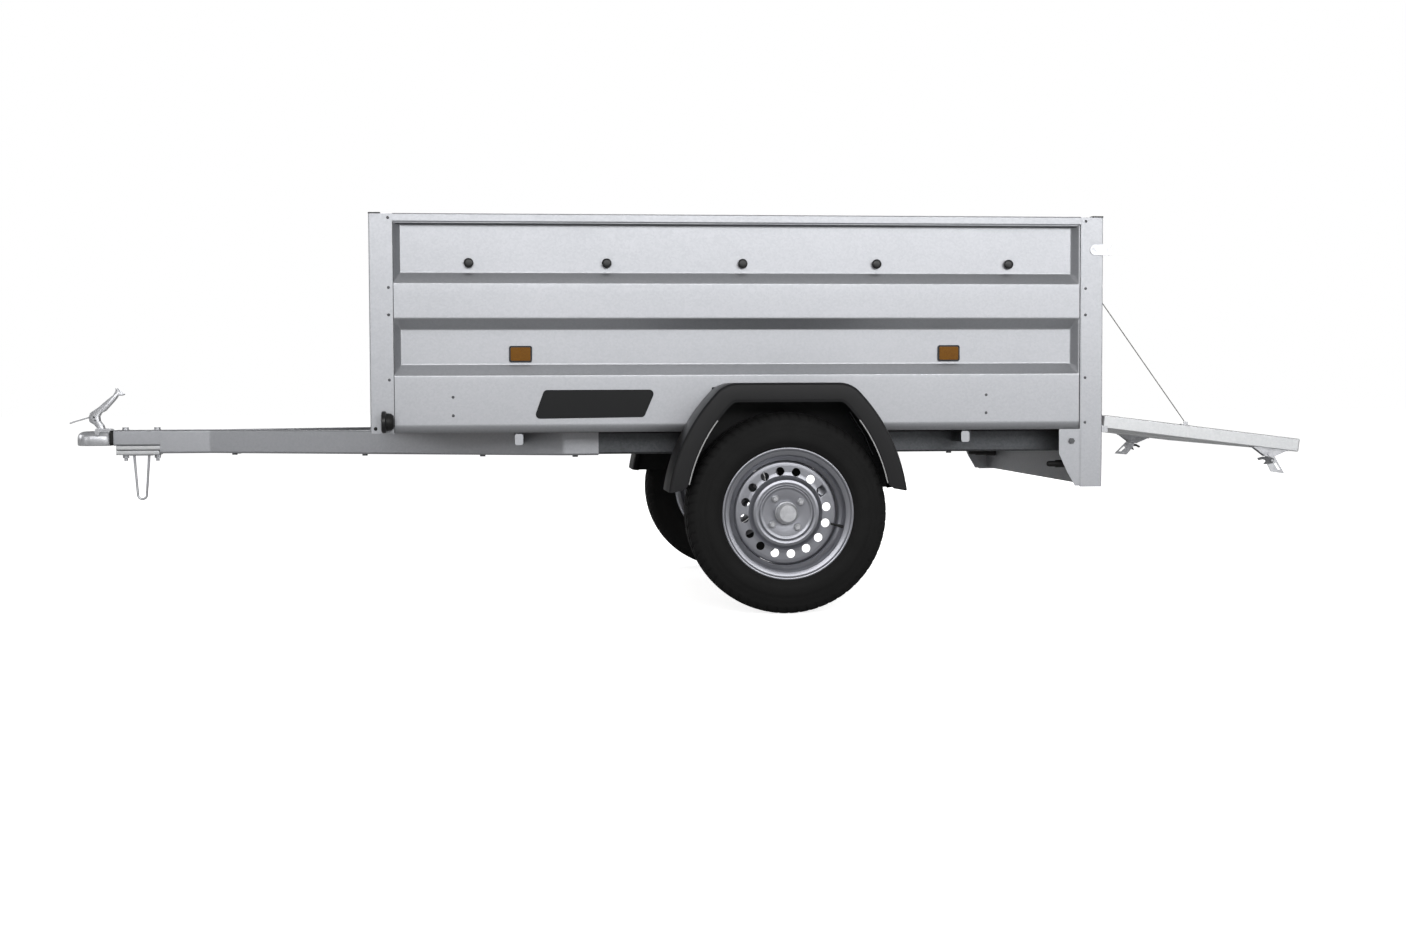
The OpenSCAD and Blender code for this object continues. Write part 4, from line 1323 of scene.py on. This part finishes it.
        self.shop.piece(f"reflector_cases_{side.word}", cases, KNOB, replaces=["side_reflectors"],
                        bevel=0.8)
        self.shop.piece(f"reflector_lenses_{side.word}", refl, AMBER, bevel=0.6)
        cx, cz = f.box_x0 + 618, f.deck + 78
        corners = [(cx - 170, cz - 40), (cx + 137, cz - 37), (cx + 170, cz + 40), (cx - 141, cz + 40)]
        skin = y - self.sheet
        plate = Shape().prism(rounded(corners, 12, 5, True), xz, s * skin, s * (skin + 1.4))
        self.shop.piece(f"bare_plate_{side.word}", plate, PLATE, replaces=["sign_plates"], bevel=0.4)


@dataclass
class Mudguards:
    """The two moulded mudguards.

    Attributes:
        shop: The workshop.
        flat: Half the length of the flat top.
        corner_r: Radius of its corners.
        flank_r: Radius of its flanks.
        band: Depth of its outer band.
        wall: Thickness of its wall.
        skirt_r: Radius of the inner wall's opening.
        toe: Length of a foot's rounded end.
    """

    shop: Shop
    flat: float = 140.0
    corner_r: float = 78.0
    flank_r: float = 490.0
    band: float = 53.0
    wall: float = 3.0
    skirt_r: float = 225.0
    toe: float = 46.0

    def build(self) -> None:
        """Makes both mudguards."""
        for side in Side:
            self._guard(side)

    def _arch(self, top: float) -> list[Point2]:
        """Gives the mudguard's arch, seen from the side, from its front foot to its rear one.

        Args:
            top: Height of its flat top.

        Returns:
            The arch's points.
        """
        corner = (self.flat, top - self.corner_r)
        reach = self.flank_r - self.corner_r
        a = math.radians(44)
        flank = (corner[0] - reach * math.cos(a), corner[1] - reach * math.sin(a))
        half = arc(*corner, self.corner_r, 90, 44, 12) + arc(*flank, self.flank_r, 43, 8, 28)
        flat = [(self.flat * k / 8, top) for k in range(8)]
        right = flat + half
        return [(-x, z) for x, z in reversed(right[1:])] + right

    def _guard(self, side: Side) -> None:
        """Makes a mudguard with its inner wall and pads, its bead coloured as a painted highlight, and its
        stays coloured dark as painted shade.

        Args:
            side: The side that it is on.
        """
        f = self.shop.frame
        s = side.value
        low, high = f.node(f"mudguard_{side.word}")
        out, inn = (abs(low[1]), abs(high[1])) if s < 0 else (abs(high[1]), abs(low[1]))
        inn += 8
        path = self._arch(high[2])
        closed = strip([(out - 1.0, self.band - 0.5), (out, self.band - 8), (out, 0), (inn, 0), (inn, 22)],
                       -self.wall, 9.0)
        lengths = [0.0]
        for a, b in zip(path, path[1:]):
            lengths.append(lengths[-1] + (Vector(b) - Vector(a)).length)
        normals = beside(path, -1.0)
        rows, edge = [], []
        for i, (p, q) in enumerate(zip(path, normals)):
            n = Vector(q) - Vector(p)
            short = max(0.0, 1 - min(lengths[i], lengths[-1] - lengths[i]) / self.toe)
            share = math.sqrt(max(0.0, 1 - short ** 2))
            limit = 6 + (self.band - 6) * share
            row = []
            for y, depth in closed:
                d = min(depth, limit) if y > inn + 20 else depth
                row.append((p[0] + n.x * d, s * y, p[1] + n.y * d))
            rows.append(row)
            d = min(self.band - 1.5, limit)
            edge.append((p[0] + n.x * d, s * (out - 0.6), p[1] + n.y * d))
        self.shop.piece(f"moulded_mudguard_{side.word}", loft(rows), PLASTIC,
                        replaces=[f"mudguard_{side.word}"], smooth=50)
        # The bead is coloured light grey: a painted highlight along each arm's edge.
        bead = Shape()
        for arm in (edge[3:24], edge[-24:-3]):
            bead.tube(arm, 1.7, 10)
        self.shop.piece(f"mudguard_highlight_bead_{side.word}", bead, PAINTED_HIGHLIGHT_EDGE, smooth=60)
        rim = [(p[0] + (q[0] - p[0]) * 3, p[1] + (q[1] - p[1]) * 3) for p, q in zip(path, normals)]
        foot = math.degrees(math.asin((path[0][1] - f.wheel_z) / self.skirt_r))
        rim += arc(0, f.wheel_z, self.skirt_r, foot, 180 - foot, 40)
        wall = Shape().prism(rim, xz, s * inn, s * (inn + 3))
        self.shop.piece(f"mudguard_skirt_{side.word}", wall, PLASTIC, folded=True)
        pads = Shape()
        for x in (-190, 120):
            pads.block((x, s * (inn - 1), f.deck + 20), (x + 70, s * (f.half_w - 2), high[2] - 12))
        self.shop.piece(f"mudguard_pads_{side.word}", pads, PLASTIC, bevel=2.0)
        stays = Shape()
        for m in (-1, 1):
            line = [(m * 196, high[2] - 84), (m * 238, high[2] - 150), (m * 262, high[2] - 206)]
            stays.prism(strip(line, 3.0 * m, 20), xz, s * (inn + 3), s * (inn + 26))
        # The stays take the darker zinc: painted shade under the mudguard.
        self.shop.piece(f"mudguard_stays_{side.word}", stays, SHADED_GALVANISED, bevel=0.4)


@dataclass
class Chassis:
    """Drawbar legs, side rails, cross members, axle and suspension arms.

    Attributes:
        shop: The workshop.
        height: Height of a beam.
        flange: Width of its flanges.
        sheet: Its thickness.
        bend: Radius of its folds.
        leg_y: Half the distance across the legs at the coupling.
        rail_y: The same across the side rails.
        leg_bend: How far behind its front end a leg starts to spread.
        leg_joins: X where a leg meets its side rail.
        rail_bend: X where a rail turns outwards.
    """

    shop: Shop
    height: float = 70.0
    flange: float = 30.0
    sheet: float = 3.0
    bend: float = 6.0
    leg_y: float = 36.0
    rail_y: float = 430.0
    leg_bend: float = 150.0
    leg_joins: float = -600.0
    rail_bend: float = 585.0

    def build(self) -> None:
        """Makes the chassis."""
        f = self.shop.frame
        x0 = f.leg_x0
        joins = self.leg_joins
        leg = [(x0, -self.leg_y), (x0 + self.leg_bend, -self.leg_y), (joins, -self.rail_y),
               (joins + 100, -self.rail_y)]
        y = self.rail_y - self.sheet
        rail = [(joins + 4, -y), (self.rail_bend, -y), (f.box_x1 - 3, -y - 21)]
        for side in Side:
            self._beam(f"drawbar_leg_{side.word}", leg, f.deck - self.height, f.deck, side, 40.0, GALVANISED)
            # The side rails take the darker zinc: painted shade under the box.
            self._beam(f"side_rail_{side.word}", rail, f.deck - self.height + 3, f.deck - 3, side, 60.0,
                       SHADED_GALVANISED)
        tabs = Shape()
        y = abs(f.node("floor_outriggers")[0][1])
        for side in Side:
            for a, b in ((-740, -717), (527, 551)):
                tabs.prism(oblong(a, 465, b, 496, 6), xz, side.value * (y - 1.0), side.value * (y + 1.5))
        self.shop.piece("outrigger_tabs", tabs, GALVANISED, bevel=0.5)
        # Cross members, axle and arms take the darker zinc: painted shade under the box.
        self.shop.dress(["cross_member_front", "cross_member_rear", "floor_outriggers", "axle_tube",
                         "axle_brackets", "swing_arm_near", "swing_arm_far"], SHADED_GALVANISED)
        self.shop.dress(["frame_bolts"], DARK_ZINC)

    def _beam(self, node: str, plan: Sequence[Point2], z0: float, z1: float, side: Side, turn: float,
              finish: Finish) -> None:
        """Sweeps a C section with rounded bends along a plan path.

        Args:
            node: The CAD node that it stands for.
            plan: Its path on the near side.
            z0: Its underside.
            z1: Its top.
            side: The side that it is on.
            turn: Radius of the path's bends.
            finish: Its finish.
        """
        path = rounded(plan, turn, 6)
        fl, t = self.flange, self.sheet
        section = strip([(fl, z0), (0, z0), (0, z1), (fl, z1)], -t, self.bend)
        inner = beside(path, 1.0)
        rows = []
        for p, q in zip(path, inner):
            n = Vector(q) - Vector(p)
            rows.append([(p[0] + n.x * u, (p[1] + n.y * u) * -side.value, z) for u, z in section])
        self.shop.piece(f"folded_{node}", loft(rows), finish, replaces=[node], folded=True)


@dataclass
class Coupling:
    """The ball coupling with its raised lever, safety catch, clamp, bolts and prop.

    Attributes:
        shop: The workshop.
        head_r: Radius of the head's front.
        lever_half: Half the lever's width.
        slot_half: Half the width of the head's slot.
        rod_r: Radius of the prop's rod.
        height: How far the head's underside lies below the deck.
        ball_ahead: How far the ball lies ahead of the legs' ends.
        nut_r: Radius of a nut's corners.
        washer_r: Radius of a washer.
        bolts_ahead: How far each clamp bolt lies ahead of those ends.
        clamp_height: How far the clamp reaches below the head's underside.
    """

    shop: Shop
    head_r: float = 46.0
    lever_half: float = 17.0
    slot_half: float = 18.5
    rod_r: float = 3.75
    height: float = 46.0
    ball_ahead: float = 200.0
    nut_r: float = 9.4
    washer_r: float = 11.0
    bolts_ahead: Point2 = (106.0, 13.0)
    clamp_height: float = 28.0

    def build(self) -> None:
        """Makes the coupling."""
        self._head()
        self._lever()
        self._clamp()
        self._bolts()
        self._prop()
        self.shop.dress(["handle_pin", "safety_catch"], ZINC)

    def _outline(self, inset: float, tail: float) -> list[Point2]:
        """Gives the head's plan outline, drawn in by an amount.

        Args:
            inset: That amount.
            tail: X of its rear end.

        Returns:
            The outline.
        """
        cx = self.shop.frame.leg_x0 - self.ball_ahead
        r = self.head_r - inset
        front = arc(cx, 0, r, 270, 90, 24)
        half = 43 - inset
        return front + [(cx + 20, half + 1), (tail - 14, half), (tail - 4, half - 4), (tail, half - 12),
                        (tail, -half + 12), (tail - 4, -half + 4), (tail - 14, -half), (cx + 20, -half - 1)]

    def _head(self) -> None:
        """Makes the head with its ball socket, cheeks, collar and tail."""
        f = self.shop.frame
        z0 = f.deck - self.height
        tail = f.leg_x0 - 144
        cx = f.leg_x0 - self.ball_ahead
        steps = [(z0, 3.0), (z0 + 1.5, 0.8), (z0 + 4, 0.0), (z0 + 20, 0.0), (z0 + 28, 1.0), (z0 + 33, 3.2),
                 (z0 + 37, 6.5), (z0 + 40, 11.0), (z0 + 42, 17.0), (z0 + 43, 24.0)]
        dome = loft([[(x, y, z) for x, y in self._outline(i, tail)] for z, i in steps])
        made = self.shop.piece("coupling_head", dome, CAST_ZINC, replaces=["coupling_body"], smooth=60)
        socket = [(0.01, -20), (25.5, -20), (25.5, 16), (22, 24), (14, 29), (0.01, 31)]
        bore = Shape().turned(socket, 0, 0, 1, 48).mapped(lambda p: (cx + p[0], p[2], z0 + p[1]))
        self.shop.cut(made, bore)
        self.shop.cut(made, Shape().block((cx + 4, -self.slot_half, f.deck - 26),
                                          (tail - 4, self.slot_half, f.deck + 9)))
        seat = rounded([(cx + 6, z0 + 36), (cx + 10, f.deck + 4), (cx + 14, f.deck + 6), (tail, f.deck + 4),
                        (tail, z0 + 30)], 2.5, 3, True)
        cheeks = Shape()
        for s in (-1, 1):
            cheeks.prism(seat, xz, s * self.slot_half, s * 27)
        self.shop.piece("coupling_cheeks", cheeks, CAST_ZINC, bevel=1.6)
        collar = Shape().prism(oblong(-39, z0 + 1, 39, f.deck - 1, 8), yz, tail - 2, tail + 8)
        self.shop.piece("coupling_collar", collar, RUBBER, bevel=1.0)
        body = Shape().prism(oblong(-33, z0, 33, f.deck, 5), yz, tail + 8, f.leg_x0)
        body.prism(oblong(-33, z0, 33, f.deck - 3, 5), yz, f.leg_x0 - 1, f.leg_x0 + 130)
        self.shop.piece("coupling_tail", body, GALVANISED, bevel=0.6, weld=False)

    def _lever(self) -> None:
        """Makes the raised lever, two cheeks and a folded back."""
        f = self.shop.frame
        px, pz = f.leg_x0 - 180, f.deck - 8
        side = [(50, 127), (42, 113), (18, 94), (0, 78), (-26, 60), (-30, 46), (-28, 33), (-15, 25),
                (-6, 14), (-3, -12), (8, -12), (14, 0), (14, 9), (10, 22), (0, 36), (-2, 49), (4, 60),
                (16, 66), (34, 86), (50, 105), (53, 112), (64, 111), (72, 114), (70, 118), (60, 124),
                (48, 137)]
        outline = rounded([(px + u, pz + v) for u, v in side], 5.0, 4, True)
        cheeks = Shape()
        for s in (-1, 1):
            cheeks.prism(outline, xz, s * (self.lever_half - 3), s * self.lever_half)
        made = self.shop.piece("lever_cheeks", cheeks, ZINC, "coupling_lever", ["coupling_handle"], bevel=0.7)
        for cx, cz, r in ((px + 43, pz + 128, 4.2), (px - 15, pz + 47, 3.0), (px - 12, pz + 38, 3.0)):
            self.shop.cut(made, Shape().turned([(0.01, -40), (r, -40), (r, 40), (0.01, 40)], cx, cz, 1, 24))
        back = side[12:23]
        fold = strip([(px + u, pz + v) for u, v in back], 3.0, 6)
        spine = Shape().prism(fold, xz, 1 - self.lever_half, self.lever_half - 1)
        self.shop.piece("lever_back", spine, ZINC, "coupling_lever", bevel=0.6)

    def _clamp(self) -> None:
        """Makes the two bars that clamp the drawbar's legs."""
        f = self.shop.frame
        z0 = f.deck - self.height
        halves = Shape()
        for a, b, end in ((z0 - 13.5, z0 - 0.2, 60), (z0 - self.clamp_height, z0 - 14.3, 0)):
            halves.prism(oblong(-33, a, 33, b, 3, 3), yz, f.leg_x0 - 129, f.leg_x0 - 3 + end)
        # Painted light: the clamp takes the paler zinc copy.
        self.shop.piece("clamp_halves", halves, LIT_GALVANISED, replaces=["clamp_block"], bevel=0.8,
                        weld=False)

    def _bolts(self) -> None:
        """Makes the clamp's bolts, washers, threads and nuts."""
        f = self.shop.frame
        z0 = f.deck - self.height
        heads, nuts = Shape(), Shape()
        for x in (f.leg_x0 - ahead for ahead in self.bolts_ahead):
            heads.prism(round_disc(x, 0, self.washer_r), xy, f.deck, f.deck + 1.6)
            heads.prism(hexagon(x, 0, self.nut_r, 12), xy, f.deck + 1.6, f.deck + 8)
            heads.tube([(x, 0, z0 - 47), (x, 0, z0 - 25)], 4.9, 20)
            for k in range(9):
                z = z0 - 46.5 + 1.0 * k
                heads.prism(round_disc(x, 0, 5.2), xy, z, z + 0.45)
            nuts.prism(hexagon(x, 0, self.nut_r, 20), xy, z0 - 38, z0 - 29.6)
            nuts.prism(round_disc(x, 0, self.washer_r), xy, z0 - 29.6, z0 - self.clamp_height)
        self.shop.piece("clamp_bolt_heads", heads, ZINC, replaces=["coupling_bolts"], bevel=0.4, weld=False)
        self.shop.piece("clamp_nuts", nuts, ZINC, replaces=["coupling_nuts"], bevel=0.4, weld=False)

    def _prop(self) -> None:
        """Makes the bent rod that the drawbar stands on."""
        f = self.shop.frame
        cx, top, cz = f.leg_x0 - 60, f.deck - self.height - self.clamp_height, 305
        lean = math.degrees(math.atan2(22 - 13, top - cz))
        path = [(cx - 22, 0, top - 1)]
        path += [(x, 0, z) for x, z in arc(cx, cz, 13, 180 + lean, 360 - lean, 14)]
        path += [(cx + 22, 0, top - 1)]
        rod = Shape().tube(path, self.rod_r, 20)
        rod.block((cx - 34, -9, top - 3), (cx + 34, 9, top))
        self.shop.piece("prop_rod", rod, ZINC, replaces=["prop_stand"], smooth=45, weld=False)


@dataclass
class Tailgate:
    """The lowered tailgate with its eyes and latches.

    Attributes:
        shop: The workshop.
        length: Its length.
        thick: Its thickness.
        droop: How far it hangs below level, in degrees.
        half: Half its width.
        edge: Gap between the hinge's axis and its edge.
        pans: Where each recess of its underside starts and ends.
        pan_half: Half a recess's width.
        pan_deep: Depth of a recess, and width of its slopes.
    """

    shop: Shop
    length: float = 600.0
    thick: float = 38.0
    droop: float = 7.1
    half: float = 540.0
    edge: float = 5.0
    pans: tuple[Point2, Point2] = ((60.0, 320.0), (380.0, 540.0))
    pan_half: float = 480.0
    pan_deep: float = 14.0

    def build(self) -> None:
        """Makes the tailgate."""
        self._leaf()
        self.shop.dress(["gate_wire_eyes", "latch_bases", "latch_lever_near", "latch_lever_far",
                         "hinge_brackets", "wire_studs", "hook_brackets"], ZINC)
        self.shop.dress(["latch_hook_near", "latch_hook_far"], DARK_ZINC)

    def _place(self, p: Point3) -> Point3:
        """Turns length, across and height on the tailgate into the trailer's frame.

        Args:
            p: A point on the tailgate.

        Returns:
            The point in the trailer's frame.
        """
        f = self.shop.frame
        a = math.radians(self.droop)
        u, y, w = p
        return (f.pivot_x + u * math.cos(a) + w * math.sin(a), y, f.deck - u * math.sin(a) + w * math.cos(a))

    def _ring(self, inset: float, w: float) -> list[Point3]:
        """Gives a ring of the tailgate's rounded edge.

        Args:
            inset: How far it is drawn in.
            w: Its height on the tailgate.

        Returns:
            The ring.
        """
        a, b, c = self.edge + inset, self.length - inset, self.half - inset
        return [self._place((u, y, w)) for u, y in oblong(a, -c, b, c, max(1.0, 5 - inset))]

    def _leaf(self) -> None:
        """Makes the tailgate's leaf with its two recesses, and its hinge knuckles."""
        top = self.thick + 2
        rings = [self._ring(i, w) for i, w in ((7, 2), (3, 2), (1, 3), (0, 5), (0, top - 3), (0.9, top - 0.9),
                                               (3, top))]
        shape = Shape().grid(rings, close_u=True).fan(rings[-1])
        a, b, c = self.edge + 6, self.length - 6, self.half - 6
        h = self.pan_half
        rims = (0, 3, 7, 12, 15)
        us = [a, *(u for p in self.pans
                   for u in (*(p[0] + d for d in rims), *(p[1] - d for d in reversed(rims)))), b]
        ends = (-c, *(d - h for d in rims))
        ys = [*ends, *(rims[-1] - h + 93 * k for k in range(1, 10)), *(-e for e in reversed(ends))]
        rows = []
        for u in us:
            row = []
            for y in ys:
                deep = 0.0
                for p in self.pans:
                    least = min(u - p[0], p[1] - u, h - abs(y))
                    deep = max(deep, min(1.0, max(0.0, least / self.pan_deep)))
                deep = deep * deep * (3 - 2 * deep)
                row.append(self._place((u, y, 2 + self.pan_deep * deep)))
            rows.append(row)
        shape.grid(rows)
        # Painted light: the leaf takes the paler zinc copy.
        self.shop.piece("tailgate_leaf", shape, LIT_GALVANISED, "gate", ["tailgate"], folded=True)
        hinge = Shape()
        for s in (-1, 1):
            hinge.prism(round_disc(0, 0, 11), lambda u, w, t: self._place((u, t, w)), s * 501, s * 538)
        self.shop.piece("tailgate_knuckles", hinge, GALVANISED, "gate", bevel=0.6, weld=False)


@dataclass
class Rear:
    """The light panel, gussets, lamps and plate holder.

    Attributes:
        shop: The workshop.
        inner: How far a lamp's inner edge lies from the middle.
        outer: How far its outer edge does.
        top: How far its top lies below the deck.
        foot: How far its underside does.
    """

    shop: Shop
    inner: float = 405.0
    outer: float = 535.0
    top: float = 40.0
    foot: float = 130.0

    def build(self) -> None:
        """Makes the rear."""
        self.shop.dress(["rear_light_panel", "gussets"], GALVANISED)
        self.shop.dress(["number_plate_holder"], KNOB)
        f = self.shop.frame
        z0, z1 = f.deck - self.foot, f.deck - self.top
        body, plugs = Shape(), Shape()
        fields = ((475, 533, AMBER, "amber"), (441, 475, RED, "red"), (407, 441, CLEAR, "clear"))
        ring = [(0.01, 0), (13, 0), (13, 30), (11, 34), (11, 66), (8.5, 70), (8.5, 86), (6, 92), (0.01, 92)]
        for s in (-1, 1):
            case = oblong(s * self.inner, z0, s * self.outer, z1, 6)
            body.prism(case, yz, f.box_x1 - 35, f.box_x1 - 14)
            plug = Shape().turned(ring, s * 465, f.deck - 104, 1, 28)
            plugs.add(plug.mapped(lambda p: (f.box_x1 - 37 - p[1], p[0], p[2])))
        self.shop.piece("lamp_housings", body, KNOB, replaces=["rear_lamps"], bevel=1.2)
        self.shop.piece("lamp_plugs", plugs, RUBBER, weld=False)
        for y0, y1, finish, word in fields:
            lens = Shape()
            for s in (-1, 1):
                outline = oblong(s * y0, z0 + 3, s * y1, z1 - 3, 4, 3)
                lens.prism(outline, yz, f.box_x1 - 14.5, f.box_x1 - 5)
                for k in range(int((y1 - y0 - 8) / 4)):
                    y = y0 + 5 + 4 * k
                    slat = [(s * y, z0 + 8), (s * (y + 2.4), z0 + 8), (s * (y + 2.4), z1 - 8),
                            (s * y, z1 - 8)]
                    lens.prism(slat, yz, f.box_x1 - 5.4, f.box_x1 - 4)
            self.shop.piece(f"lamp_lenses_{word}", lens, finish, bevel=0.9, weld=False)


@dataclass
class Markers:
    """The two front marker lamps on the box's front posts.

    Attributes:
        shop: The workshop.
        inset: How far a lamp's middle lies from the box's front corner, both back and up.
        reach: How far it stands out from the side.
    """

    shop: Shop
    inset: float = 32.0
    reach: float = 31.0

    def build(self) -> None:
        """Makes the marker lamps."""
        f = self.shop.frame
        x, z, y = f.box_x0 + self.inset, f.deck + self.inset, f.half_w + self.reach
        base, dome, foot = Shape(), Shape(), Shape()
        for s in (-1, 1):
            ring = [(0.01, 0), (27, 0), (30, 2), (30.5, 6), (30, 11), (27, 13.4), (0.01, 13)]
            lens = [(0.01, 12), (24, 12), (24.5, 18), (23, 26), (18.5, 32), (10, 35), (0.01, 35.5)]
            for target, profile in ((base, ring), (dome, lens)):
                part = Shape().turned(profile, s * y, z, 1, 40)
                target.add(part.mapped(lambda p: (x + p[1], p[0], p[2])))
            foot.block((x + 16, s * y, z - 12), (x + 32, s * (f.half_w - 0.5), z + 12))
        self.shop.piece("marker_bases", base, KNOB, replaces=["marker_lamps"], weld=False)
        self.shop.piece("marker_domes", dome, RUBBER, weld=False)
        self.shop.piece("marker_feet", foot, KNOB, bevel=2.0)


def main() -> None:
    """Builds the dressed trailer in order."""
    logging.basicConfig(level=logging.INFO, format="%(message)s")
    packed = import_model()
    frame = Frame()
    shop = Shop(frame, packed["nodes"])
    Camera(frame).build()
    Wires(shop).build()
    Studio(frame).build()
    for kind in (Box, Wheels, Mudguards, Chassis, Coupling, Tailgate, Rear, Markers):
        part = kind(shop)
        part.build()
        LOG.info("%s done", type(part).__name__)


if __name__ == "__main__":
    main()
